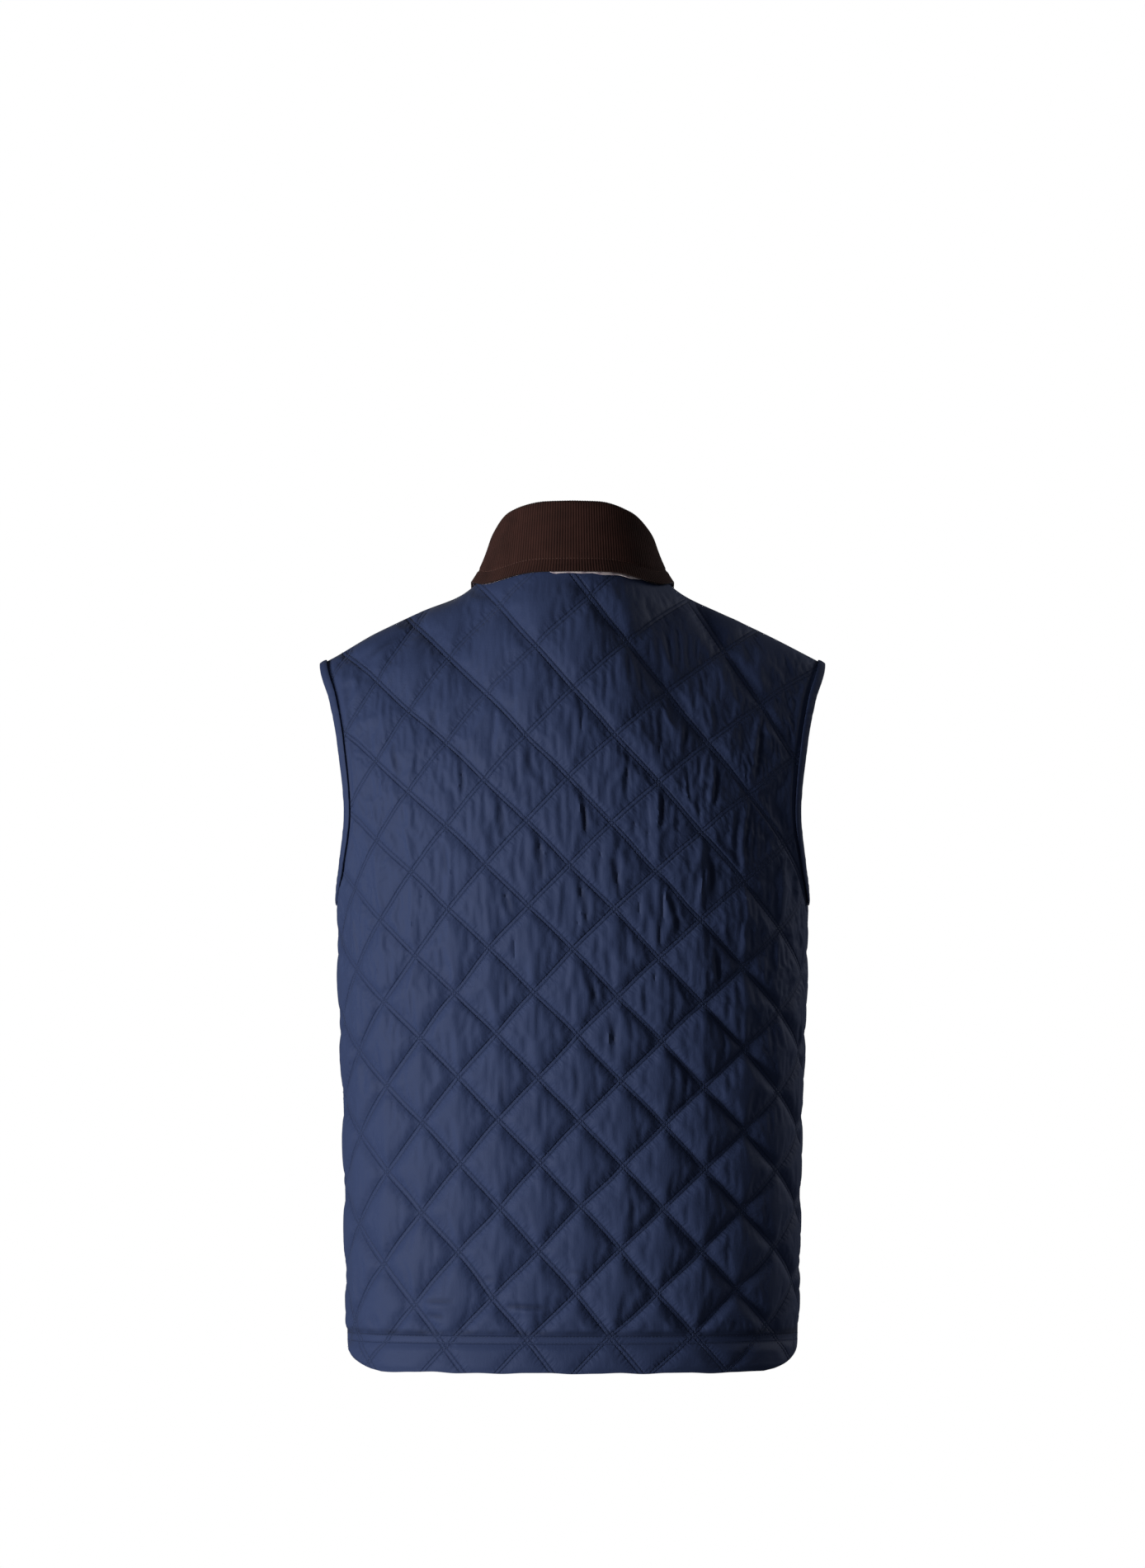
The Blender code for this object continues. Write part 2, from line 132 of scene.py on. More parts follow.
# %% A material's tree
class Finish(Graph):
    """One material. Its Principled shader holds what is the same all over the surface."""

    def __init__(self, name, **constants):
        self.material = bpy.data.materials.new(name)
        self.material.use_nodes = True
        super().__init__(self.material.node_tree)
        self.shader = self.tree.nodes["Principled BSDF"]
        for socket, value in constants.items():
            self.shader.inputs[socket.replace("_", " ")].default_value = value

    def field(self, kind, settings=None, sockets=None, output=0):
        """Add a node and give one of its outputs as a field."""
        return Field(self, self.node(kind, settings, sockets).outputs[output])

    def coordinates(self, kind="UV", scale=(1.0, 1.0, 1.0)):
        """The piece's own UV map, in metres of cloth, or its Object coordinates, scaled by axis."""
        place = self.node("ShaderNodeTexCoord").outputs[kind]
        return self.node("ShaderNodeMapping", None, {"Vector": place, "Scale": scale}).outputs[0]

    def axes(self, kind="UV"):
        """The three coordinates as fields."""
        place = self.node("ShaderNodeTexCoord").outputs[kind]
        split = self.node("ShaderNodeSeparateXYZ", None, {0: place})
        return [Field(self, socket) for socket in split.outputs]

    def noise(self, scale, detail=2.0, kind="UV", stretch=(1.0, 1.0, 1.0)):
        """Noise from 0 to 1 with a scale in cells for each metre."""
        sockets = {"Vector": self.coordinates(kind, stretch), "Scale": scale, "Detail": detail}
        return self.field("ShaderNodeTexNoise", None, sockets)

    def attribute(self, name):
        """A number that the mesh stores at each point."""
        return self.field("ShaderNodeAttribute", {"attribute_name": name}, None, output="Fac")

    def blend(self, factor, first, second):
        """A colour between two others."""
        settings = {"data_type": "RGBA", "clamp_factor": True}
        sockets = {"Factor": factor, 6: first, 7: second}
        return self.node("ShaderNodeMix", settings, sockets).outputs[2]

    def feed(self, socket, source):
        """Link a field or a node's output to the Principled shader."""
        source = source.socket if isinstance(source, Field) else source
        self.tree.links.new(source, self.shader.inputs[socket])

    def relief(self, height, depth):
        """Small relief: a field from 0 to 1 raised by a depth in metres."""
        bump = self.node("ShaderNodeBump", None, {"Height": height, "Strength": 1.0, "Distance": depth})
        self.feed("Normal", bump.outputs[0])


print("shader classes:", Field.__name__, Graph.__name__, Finish.__name__)

# %% [markdown]
# ## The form that carries the cloth
# Filled out, the vest is a stack of rings: each level of the trunk has a half width and a depth at the
# back and the front, and the rings round over to nothing at the shoulder seams. The sizes repeat those
# of the CAD model, in metres. The front faces -Y, the back +Y, and the shoulder and side seams lie in
# the plane between them. A spline could be lofted by hand, but a formula can be asked for as many
# points as the quilting needs.

# %% Sizes of the form
GAP = 0.0003
WALL = 0.004
SHOULDER_HALF = 0.2132
TIP_HEIGHT = -0.0730
UNDERARM_HEIGHT = -0.2720
HEM_HEIGHT = -0.6720
HEM_STITCH_HEIGHT = -0.6430
NECK_HALF = 0.076
NECK_DEPTH = {1: 0.060, -1: 0.085}
SHOULDER_REACH = {1: 0.20, -1: 0.30}
DEPTH_COLUMN = {1: "back_depth", -1: "front_depth"}
SECTION_POWER = 0.9


def table(columns, *rows):
    """A short table whose columns are read by name."""
    return np.array(list(rows), dtype=[(name, float) for name in columns.split()])


RINGS = table(
    "height edge_half ring_half back_depth front_depth",
    (HEM_HEIGHT, 0.1905, 0.1905, 0.118, 0.126),
    (-0.560, 0.1923, 0.1923, 0.114, 0.124),
    (-0.450, 0.1942, 0.1942, 0.114, 0.127),
    (-0.350, 0.1980, 0.1980, 0.118, 0.131),
    (UNDERARM_HEIGHT, 0.1995, 0.1995, 0.122, 0.131),
    (-0.240, 0.1960, 0.2035, 0.123, 0.130),
    (-0.200, 0.1920, 0.2110, 0.123, 0.127),
    (-0.140, 0.1979, 0.2245, 0.119, 0.118),
    (-0.105, 0.2045, 0.2325, 0.114, 0.111),
    (TIP_HEIGHT, SHOULDER_HALF, 0.2406, 0.109, 0.103),
    (0.0, SHOULDER_HALF, 0.2406, 0.092, 0.083),
    (0.08, SHOULDER_HALF, 0.2406, 0.075, 0.068),
)
print(len(RINGS), "rings from hem to neck")

# %% [markdown]
# ## From sizes to curves
# The table gives a few levels only. A plain line from one to the next would leave a visible bend at each
# level, and a free spline would bulge between them. Cubic pieces with careful slopes do neither. The
# shoulder seam is one more curve: a slope that sags a little and rises towards the neck.

# %% Curves through the sizes
SHOULDER_SLOPE = 0.53
SHOULDER_SAG = 0.40
NECK_SOFTENING = 0.02
NECK_RISE = 0.047
NECK_RISE_REACH = 0.0665
NECK_RISE_POWER = 3.5


def smooth_through(rows, key, column, at):
    """Cubic pieces through one column of a table. The slope at a row is the harmonic mean of the
    slopes on its two sides, or level where they differ in sign, so the curve never overshoots."""
    keys, values = rows[key], rows[column]
    steps = np.diff(keys)
    rises = np.diff(values) / steps
    products = rises[:-1] * rises[1:]
    sums = rises[:-1] + rises[1:]
    inner = np.where(products > 0.0, 2.0 * products / np.where(sums == 0.0, 1.0, sums), 0.0)
    slopes = np.concatenate(([rises[0]], inner, [rises[-1]]))
    at = np.clip(at, keys[0], keys[-1])
    i = np.clip(np.searchsorted(keys, at) - 1, 0, len(steps) - 1)
    t = (at - keys[i]) / steps[i]
    low = values[i] * (1 + 2 * t) + slopes[i] * steps[i] * t
    high = values[i + 1] * (3 - 2 * t) - slopes[i + 1] * steps[i] * (1 - t)
    return low * (1 - t) ** 2 + high * t ** 2


def shoulder_line(x):
    """Height of the shoulder seam: a slope, less a little of its square, plus a bump at the neck."""
    inward = SHOULDER_HALF - np.sqrt(x ** 2 + NECK_SOFTENING ** 2)
    rise = NECK_RISE * np.exp(-np.abs(x / NECK_RISE_REACH) ** NECK_RISE_POWER)
    return TIP_HEIGHT + SHOULDER_SLOPE * inward - SHOULDER_SAG * inward ** 2 + rise


def ring_half_width(height):
    """Half width of the whole ring at a height, also where an armhole cuts into it."""
    return smooth_through(RINGS, "height", "ring_half", height)


def edge_angle(height):
    """Angle round the ring at which a panel's edge stands: a right angle below the armhole."""
    share = smooth_through(RINGS, "height", "edge_half", height) / ring_half_width(height)
    return np.where(height > UNDERARM_HEIGHT, np.arcsin(np.clip(share, 0, 1)), math.pi / 2)


print("shoulder height at the neck point, mm:", round(1000 * float(shoulder_line(NECK_HALF)), 1))

# %% [markdown]
# ## Depth of the face, and back from depth to height
# At every place across and up, one formula gives how far the outer face stands from the seam plane. The
# collar and the neckline need the reverse: the height at which the face is so deep. The formula can't be
# turned round by hand, so the answer is closed in on by halving, for a whole array at a time.

# %% Depth and height of the outer face
SEARCH_DROP = 0.26


def surface_depth(side, x, height):
    """Depth of the outer face: ring depth, times a quarter circle that falls to zero at the shoulder
    line, times a power of the ellipse across the ring."""
    full = smooth_through(RINGS, "height", DEPTH_COLUMN[side], height)
    below = np.clip((shoulder_line(x) - height) / SHOULDER_REACH[side], 0, 1)
    rounding = np.sqrt(1 - (1 - below) ** 2)
    ellipse = np.sqrt(1 - np.clip(x / ring_half_width(height), -1, 1) ** 2)
    return side * full * rounding * ellipse ** SECTION_POWER


def halved(test, low, high, rounds=40):
    """Where a test turns from true to false between two arrays, by halving the interval."""
    for _ in range(rounds):
        middle = (low + high) / 2
        true_there = test(middle)
        low, high = np.where(true_there, middle, low), np.where(true_there, high, middle)
    return (low + high) / 2


def height_over(side, x, depth):
    """Height at which the outer face has a given depth, below the shoulder line. A place wider than
    the ring counts as deep enough, because there the face has already turned in."""
    top = shoulder_line(x) + 0.0 * depth

    def deep_enough(height):
        """True where the face at this height is deeper than asked for, or past the ring."""
        past_ring = np.abs(x) >= ring_half_width(height)
        return past_ring | (np.abs(surface_depth(side, x, height)) > np.abs(depth))

    return halved(deep_enough, top - SEARCH_DROP, top)


chest_depths = [round(1000 * float(surface_depth(side, 0.0, UNDERARM_HEIGHT))) for side in DEPTH_COLUMN]
print("depth at the underarm, back and front, mm:", chest_depths)

# %% [markdown]
# ## One panel as a surface
# Back and fronts are the same kind of surface with two parameters: a share of the way across, as an angle
# round the ring, and a share of the way down. At the hem the side corners turn in and leave a small vent.
# Its normals are needed as well, because everything sewn on the cloth is moved along them.

# %% A panel's face
VENT_TURN = 0.56
CORNER_EASED = 0.7
CORNER_ROUND = 0.3
CORNER_POWER = 1.5
LEVEL_FROM = 0.75
LEVEL_POWER = 1.5


def top_height(side, across):
    """Height of a panel's top edge: shoulder seam and, inside the neck points, the neckline."""
    x = ring_half_width(TIP_HEIGHT) * np.sin(across * edge_angle(TIP_HEIGHT))
    neck = NECK_DEPTH[side] * np.sqrt(np.clip(1 - (x / NECK_HALF) ** 2, 0, 1))
    return height_over(side, x, neck)


def across_at(x):
    """Across value of the column that starts at a distance x from the centre."""
    return np.arcsin(x / ring_half_width(TIP_HEIGHT)) / edge_angle(TIP_HEIGHT)


def panel_face(side, across, down):
    """Outer face of a panel. Across runs from the centre (0) to the edge (1) as an angle round the
    ring, and down runs from the top edge (0) to the hem (1), where the corner turns in. The top edge's
    shape fades out of the rows on the way down, and from LEVEL_FROM on they are level."""
    edge_height = TIP_HEIGHT + (HEM_HEIGHT - TIP_HEIGHT) * down
    into_vent = np.clip((HEM_STITCH_HEIGHT - edge_height) / (HEM_STITCH_HEIGHT - HEM_HEIGHT), 0, 1)
    rounded = 1 - np.sqrt(1 - into_vent ** 2)
    corner = CORNER_EASED * into_vent ** CORNER_POWER + CORNER_ROUND * rounded
    angle = edge_angle(edge_height) - VENT_TURN * corner
    level = np.clip(1 - down / LEVEL_FROM, 0, 1) ** LEVEL_POWER
    height = edge_height + (top_height(side, across) - TIP_HEIGHT) * level
    x = ring_half_width(height) * np.sin(across * angle)
    y = side * np.maximum(side * surface_depth(side, x, height), GAP / 2)
    return np.stack(np.broadcast_arrays(x, y, height), axis=-1)


def outward_normals(face, side):
    """Unit cross product of the two grid directions, turned out. It stays level at the hem and lies
    in the seam plane on the seams, so that two panels still meet there."""
    normal = np.cross(np.gradient(face, axis=1), np.gradient(face, axis=0))
    normal *= np.sign(np.sum(normal[..., 1]) * side)
    normal[..., 1] = np.where(np.abs(face[..., 1]) < GAP, 0.0, normal[..., 1])
    normal[-1, :, 2] = 0.0
    return normal / np.linalg.norm(normal, axis=-1, keepdims=True)


neck_low = {side: round(1000 * float(top_height(side, np.zeros(1))[0])) for side in NECK_DEPTH}
print("height of the neckline at the centre, back and front, mm:", list(neck_low.values()))

# %% [markdown]
# ## From grids to meshes
# Points and faces become a mesh in a few calls that hand over whole arrays, which is far quicker than
# adding faces one by one. A maker turns a piece right side out; here all faces are turned so that they
# look outwards.


# %% A mesh from arrays
def enclosed_volume(points, faces):
    """Six times the volume inside the faces: the sum over their fans of first . (second x third). It
    is negative where the faces look inwards."""
    volume = 0.0
    for group in faces:
        for k in range(1, group.shape[1] - 1):
            a, b, c = points[group[:, 0]], points[group[:, k]], points[group[:, k + 1]]
            volume += np.sum(a * np.cross(b, c))
    return volume


def new_piece(name, points, faces, uv=None, attributes=None, sharp=50.0):
    """A mesh from an array of points and arrays of faces with equal corner counts, all turned over
    where they enclose a negative volume."""
    corners = np.concatenate([group.ravel() for group in faces])
    counts = np.concatenate([np.full(len(group), group.shape[1]) for group in faces])
    if enclosed_volume(points, faces) < 0:
        corners = np.concatenate([group[:, ::-1].ravel() for group in faces])
    starts = np.concatenate(([0], np.cumsum(counts)[:-1]))
    mesh = bpy.data.meshes.new(name)
    mesh.vertices.add(len(points))
    mesh.vertices.foreach_set("co", points.astype(np.float32).ravel())
    mesh.loops.add(len(corners))
    mesh.loops.foreach_set("vertex_index", corners.astype(np.int32))
    mesh.polygons.add(len(counts))
    mesh.polygons.foreach_set("loop_start", starts.astype(np.int32))
    mesh.polygons.foreach_set("use_smooth", np.ones(len(counts), dtype=bool))
    mesh.update(calc_edges=True)
    if uv is not None:
        layer = mesh.uv_layers.new(name="cloth")
        layer.data.foreach_set("uv", uv[corners].astype(np.float32).ravel())
    for key, values in (attributes or {}).items():
        layer = mesh.attributes.new(key, "FLOAT", "POINT")
        layer.data.foreach_set("value", values.astype(np.float32).ravel())
    mesh.set_sharp_from_angle(angle=math.radians(sharp))
    made = bpy.data.objects.new(name, mesh)
    bpy.context.scene.collection.objects.link(made)
    return made


print("mesh builder:", new_piece.__name__)

# %% [markdown]
# ## Cloth with two skins
# A cloth piece has an outer skin, an inner skin and narrow edges between them. The inner skin of the
# quilted cloth needs far fewer points, so it takes every fourth point of the outer grid, and the edge
# faces are polygons that join one long inner side to four short outer ones. A Solidify modifier could
# thicken a single skin, but then both skins would have the same shape.


# %% Closed pieces from two grids
def grid_quads(rows, columns, first=0, wrap_rows=False, wrap_columns=False):
    """Corner numbers of the quads of a grid of points, which may join up in either direction."""
    number = first + np.arange(rows * columns).reshape(rows, columns)
    if wrap_rows:
        number = np.concatenate((number, number[:1]))
    if wrap_columns:
        number = np.concatenate((number, number[:, :1]), axis=1)
    quads = np.stack((number[:-1, :-1], number[1:, :-1], number[1:, 1:], number[:-1, 1:]), axis=-1)
    return quads.reshape(-1, 4)


def edge_strip(outer, inner, step):
    """Polygons between a run of outer points and a run of inner points, one for each inner side."""
    spans = np.arange(len(inner) - 1)[:, None] * step + np.arange(step + 1)
    return np.concatenate((outer[spans], inner[1:, None], inner[:-1, None]), axis=1)


def shell(name, outside, inside, steps=(1, 1), uv=None, attributes=None):
    """A closed piece between an outer grid and an inner grid. The steps say how many outer rows and
    columns the inner grid goes on by, and the two grids are joined by strips along all four edges."""
    rows, columns = outside.shape[:2]
    coarse_rows, coarse_columns = inside.shape[:2]
    row_step, column_step = steps
    count = rows * columns
    outer = np.arange(count).reshape(rows, columns)
    inner = count + np.arange(coarse_rows * coarse_columns).reshape(coarse_rows, coarse_columns)
    faces = [
        grid_quads(rows, columns),
        grid_quads(coarse_rows, coarse_columns, count)[:, ::-1],
        edge_strip(outer[0], inner[0], column_step),
        edge_strip(outer[-1, ::-1], inner[-1, ::-1], column_step),
        edge_strip(outer[::-1, 0], inner[::-1, 0], row_step),
        edge_strip(outer[:, -1], inner[:, -1], row_step),
    ]
    points = np.concatenate((outside.reshape(-1, 3), inside.reshape(-1, 3)))

    def both(values, width):
        """Values of the outer points, and then those of the inner ones."""
        values = values.reshape(rows, columns, width)
        thinned = values[::row_step, ::column_step]
        return np.concatenate((values.reshape(-1, width), thinned.reshape(-1, width)))

    uv = None if uv is None else both(uv, 2)
    attributes = {key: both(values, 1) for key, values in (attributes or {}).items()}
    return new_piece(name, points, faces, uv, attributes)


print("faces of a grid of 3 by 4 points:", len(grid_quads(3, 4)))

# %% [markdown]
# ## The quilting
# The sewing machine runs along two families of diagonal lines, 50 mm apart, two needles at a time.
# Worn, the cloth hangs a little askew: its rows arch over the back, and the squares are wider on one
# side than on the other. Crossings of lines, counted in the picture and noted with their pixels, are the
# start: a cubic fitted through them gives each point its place in the pattern, counted in squares, and the
# lines are where one of two sums is a whole number. The fronts, which the picture does not show, carry
# the same pattern hung evenly.

# %% Noise that the pattern and the puckers share
FILL_CELLS = 64
FILL_RANGE = (0.55, 1.25)
NOISE_CELLS = 256
rng = np.random.default_rng(11)
cell_fill = rng.uniform(*FILL_RANGE, (FILL_CELLS, FILL_CELLS))
lattice = rng.uniform(-1.0, 1.0, (NOISE_CELLS, NOISE_CELLS))


def value_noise(a, b):
    """Smooth noise from -1 to 1: random numbers on whole places, eased between by 3t^2 - 2t^3. A whole
    number added to a place only picks another patch of it."""
    i, j = np.floor(a).astype(int), np.floor(b).astype(int)
    s, t = a - i, b - j
    s, t = s * s * (3 - 2 * s), t * t * (3 - 2 * t)
    i, j, k, m = (number % NOISE_CELLS for number in (i, j, i + 1, j + 1))
    low = lattice[i, j] * (1 - s) + lattice[k, j] * s
    high = lattice[i, m] * (1 - s) + lattice[k, m] * s
    return low * (1 - t) + high * t


print("noise table:", lattice.shape)

# %% [markdown]
# ## Crossings counted in the picture
# Each row gives a crossing's place in the pattern, in squares across and down, and the pixel where it is
# seen. Half numbers are crossings in the middle of four others.

# %% Counted crossings
PHOTO_SCALE = 0.0007
PHOTO_CENTRE = (694, 700)
CROSSINGS = table(
    "across down column row",
    (1, 0, 602, 741), (0, 0, 712, 730),
    (2, 1, 497, 855), (1, 1, 595, 830), (0, 1, 699, 833), (-1, 1, 812, 838), (-2, 1, 920, 842),
    (2.5, 1.5, 457, 919), (-2.5, 1.5, 960, 915),
    (2.5, 2.5, 455, 1022), (1.5, 2.5, 542, 1002), (0.5, 2.5, 642, 994),
    (-0.5, 2.5, 742, 999), (-1.5, 2.5, 842, 1006), (-2.5, 2.5, 950, 1027),
    (2.5, 3.5, 457, 1115), (-2.5, 3.5, 950, 1142),
    (2, 4, 502, 1160), (1, 4, 597, 1150), (0, 4, 691, 1144), (-1, 4, 801, 1155), (-2, 4, 900, 1179),
    (2.5, 5.5, 475, 1312), (1.5, 5.5, 560, 1299), (0.5, 5.5, 652, 1302),
    (-0.5, 5.5, 750, 1304), (-1.5, 5.5, 855, 1310), (-2.5, 5.5, 950, 1315),
    (2, 7, 510, 1470), (1, 7, 602, 1462), (0, 7, 700, 1461), (-1, 7, 809, 1460), (-2, 7, 900, 1457),
    (2.5, 7.5, 472, 1527), (-2.5, 7.5, 925, 1505),
    (1.5, 8.5, 530, 1620), (0.5, 8.5, 640, 1620), (-0.5, 8.5, 750, 1617), (-1.5, 8.5, 847, 1620),
)


def from_photo(column, row):
    """Distance from the centre and height of a place seen at a pixel of the picture."""
    return (PHOTO_CENTRE[0] - column) * PHOTO_SCALE, (PHOTO_CENTRE[1] - row) * PHOTO_SCALE


crossing_x, crossing_height = from_photo(CROSSINGS["column"], CROSSINGS["row"])
print(len(CROSSINGS), "crossings, from", round(1000 * crossing_height.max()), "to",
      round(1000 * crossing_height.min()), "mm high")

# %% [markdown]
# ## Length of cloth round the body
# Seen from behind, squares look narrower towards the sides, because the cloth rounds away there. So the
# pattern is laid out by lengths along the cloth and not by what is seen. One mean section serves every
# height, which keeps upright lines of the pattern upright.

# %% Lengths along the cloth
MEAN_DEPTH = 0.117
MEAN_HALF = 0.198
MEAN_REACH = 0.172
SECTION_SHARE = 0.96
SECTION_POINTS = 1500
section_x = np.linspace(0.0, SECTION_SHARE * MEAN_HALF, SECTION_POINTS)
section_y = MEAN_DEPTH * (1 - (section_x / MEAN_HALF) ** 2) ** (SECTION_POWER / 2)
section_arc = np.concatenate(([0.0], np.cumsum(np.hypot(np.diff(section_x), np.diff(section_y)))))


def round_section(x):
    """Length of cloth round the mean section, out to a distance x from the centre."""
    return np.sign(x) * np.interp(np.abs(x), section_x, section_arc)


def along_cloth(face):
    """Length of cloth from the centre line to each point of a face: round a mean section at first,
    then, past its reach, by the length of the face's own row."""
    x = face[..., 0]
    steps = np.linalg.norm(np.diff(face, axis=1), axis=2)
    row = np.concatenate((np.zeros((len(face), 1)), np.cumsum(steps, axis=1)), axis=1)
    ends = np.array([[np.interp(sign * MEAN_REACH, x_row, length) for sign in (1, -1)]
                     for x_row, length in zip(x, row)])
    right = round_section(MEAN_REACH) + row - ends[:, :1]
    left = -round_section(MEAN_REACH) + row - ends[:, 1:]
    return np.where(x > MEAN_REACH, right, np.where(x < -MEAN_REACH, left, round_section(x)))


print("cloth from the centre out to the reach, mm:", round(1000 * float(round_section(MEAN_REACH))))

# %% [markdown]
# ## A smooth pattern through the counts
# The counts have small errors, so they are not joined up one by one. A cubic in the place on the cloth
# is fitted through all of them at once by least squares. The fronts hang evenly, so they keep only the
# terms that are alike on both sides. The sewing wanders by about a millimetre, which noise adds.

# %% The pattern's place on the cloth
PATTERN_MIDDLE = -0.24
SQUARE = 0.0505
POWERS = [(i, j) for i in range(4) for j in range(4 - i)]
EVEN_ACROSS = ((1, 0),)
EVEN_DOWN = ((0, 0), (0, 1), (2, 0), (2, 1))
WOBBLE = 0.0011
WOBBLE_LENGTH = 0.034


def place_powers(along, height):
    """Every product of powers of a place on the cloth, up to the third order."""
    up = height - PATTERN_MIDDLE
    return np.stack([along ** i * up ** j for i, j in POWERS], axis=-1)


crossing_along = round_section(crossing_x)
counted = np.stack((CROSSINGS["across"], CROSSINGS["down"]), axis=1)
back_hang = np.linalg.lstsq(place_powers(crossing_along, crossing_height), counted, rcond=None)[0]
even = np.array([(power in EVEN_ACROSS, power in EVEN_DOWN) for power in POWERS])
HANG = {1: back_hang, -1: back_hang * even}


def pattern_place(side, along, height):
    """Squares counted across and down: the weighted powers of the place, which wobbles a little."""
    a, b = along / WOBBLE_LENGTH, height / WOBBLE_LENGTH
    along = along + WOBBLE * value_noise(a + 40, b)
    height = height + WOBBLE * value_noise(a + 80, b)
    return np.moveaxis(place_powers(along, height) @ HANG[side], -1, 0)


def line_distances(side, along, height):
    """Distance in metres to the nearest line of each family, and the numbers of the square."""
    across, down = pattern_place(side, along, height)
    sums = np.stack((across + down, across - down))
    distance = np.abs(sums - np.round(sums)) * SQUARE
    return distance, np.floor(sums).astype(int)


missed = pattern_place(1, crossing_along, crossing_height) - counted.T
print("the pattern misses the crossings by about", round(1000 * SQUARE * float(missed.std()), 1), "mm")

# %% [markdown]
# ## Puffs between the lines
# Between the lines the wadding lifts the cloth in soft puffs, which rise steeply from the stitches and
# flatten out. A texture could only pretend this, and the outline would stay smooth, so the puffs are
# real shape. Two small curves are enough to build them: a smooth step and the swell beside a seam.

# %% Steps and swells
SWELL_WIDTH = 0.0115
SWELL_POWER = 2.2
STITCH_HALF = 0.0016


def eased(value, start, end):
    """0 before start, 1 after end, and between them 3t^2 - 2t^3 of the share t of the way."""
    t = np.clip((value - start) / (end - start), 0, 1)
    return t * t * (3 - 2 * t)


def swell(distance, width=SWELL_WIDTH):
    """Rise of the cloth from a line of stitches, one minus a power of what is left of the width: flat
    on the seam, steep beside it, then level."""
    t = np.clip((distance - STITCH_HALF) / width, 0, 1)
    return 1 - (1 - t) ** SWELL_POWER


print("swell at 2, 5 and 10 mm from a line:", swell(np.array([0.002, 0.005, 0.010])).round(2))

# %% [markdown]
# ## Main creases
# The main creases are placed from the picture, as short lines between two of its pixels. They
# could be sculpted, but as a table they are easy to move. The fronts take the same set, each front the
# half on its own side.

# %% Creases
CREASE = 0.0014
CREASE_WIDTH = 0.0026
CREASE_TAPER = 0.45
RIDGE_SHARE = 0.6
RIDGE_PLACE = 1.6
CREASES = table(
    "from_column from_row to_column to_row depth",
    (605, 962, 609, 1016, 1.0), (704, 948, 713, 1016, 1.1), (653, 1004, 657, 1066, 1.1),
    (611, 1070, 623, 1112, 0.8), (614, 1172, 616, 1206, 0.9), (702, 1062, 713, 1120, 1.1),
    (713, 1176, 726, 1228, 1.0), (743, 1038, 750, 1084, 1.0), (862, 1036, 866, 1096, 1.2),
    (812, 1080, 824, 1132, 1.1), (865, 1142, 872, 1196, 1.1), (805, 952, 801, 1006, 1.1),
    (832, 876, 830, 914, 1.0), (925, 866, 917, 942, 1.2), (871, 930, 866, 976, 1.1),
    (721, 692, 719, 728, 0.8), (614, 694, 616, 730, 0.8), (524, 860, 526, 905, 0.8),
    (558, 905, 562, 960, 0.9), (639, 900, 641, 940, 0.8), (762, 900, 758, 960, 0.9),
    (478, 900, 482, 950, 0.8), (539, 1020, 541, 1060, 0.8), (906, 990, 904, 1040, 1.0),
    (736, 1222, 745, 1264, 0.9), (701, 1290, 699, 1330, 0.5), (609, 1300, 611, 1340, 0.6),
    (832, 1290, 828, 1340, 0.9), (767, 1448, 765, 1492, 0.9), (446, 799, 489, 769, 0.8),
    (611, 1578, 667, 1580, 1.3), (513, 1573, 552, 1573, 0.8), (513, 1589, 541, 1592, 0.9),
    (573, 1547, 602, 1545, 0.7), (744, 1596, 764, 1600, 1.0), (690, 1536, 712, 1539, 0.6),
)


def creases(x, height, mirror):
    """Narrow troughs along short lines, each with a soft ridge beside it, tapering out at both ends.
    The share along a line is a dot product with its direction, the distance beside it a cross product,
    and trough and ridge are bell curves of that distance."""
    total = np.zeros_like(x)
    for row in CREASES:
        from_x, from_height = from_photo(row["from_column"], row["from_row"])
        to_x, to_height = from_photo(row["to_column"], row["to_row"])
        run = np.array([mirror * (to_x - from_x), to_height - from_height])
        length = np.linalg.norm(run)
        run = run / length
        off_x, off_height = x - mirror * from_x, height - from_height
        share = np.clip((off_x * run[0] + off_height * run[1]) / length, 0, 1)
        beside = (off_height * run[0] - off_x * run[1]) / CREASE_WIDTH
        trough = RIDGE_SHARE * np.exp(-(beside - RIDGE_PLACE) ** 2) - np.exp(-beside ** 2)
        total += row["depth"] * np.sin(math.pi * share) ** CREASE_TAPER * trough
    return total


print("hand-placed creases:", len(CREASES))

# %% [markdown]
# ## Fine puckers
# The lines of stitches draw the cloth in sideways, so it puckers in fine upright ripples that are
# strongest over the shoulder blades. Noise that changes quickly across and slowly upwards looks like
# them. It is faint, because it only seeds the simulation that follows.

# %% Puckers
SWAY = 0.004
SWAY_SIZE = (0.03, 0.05)
FINE_SIZE = (0.0042, 0.030)
FINE_SHARE = 0.55
BROAD_SIZE = (0.0075, 0.045)
BROAD_SHARE = 0.75
PATCH_SIZE = 0.035
PATCH_MEAN = 0.55
PATCH_SWING = 0.45
PUCKERS_BEGIN = (-0.50, -0.33)
PUCKERS_LOW_DOWN = 0.35
PUCKERS_FADE = (-0.10, -0.02)
PUCKERS_LOST = 0.45


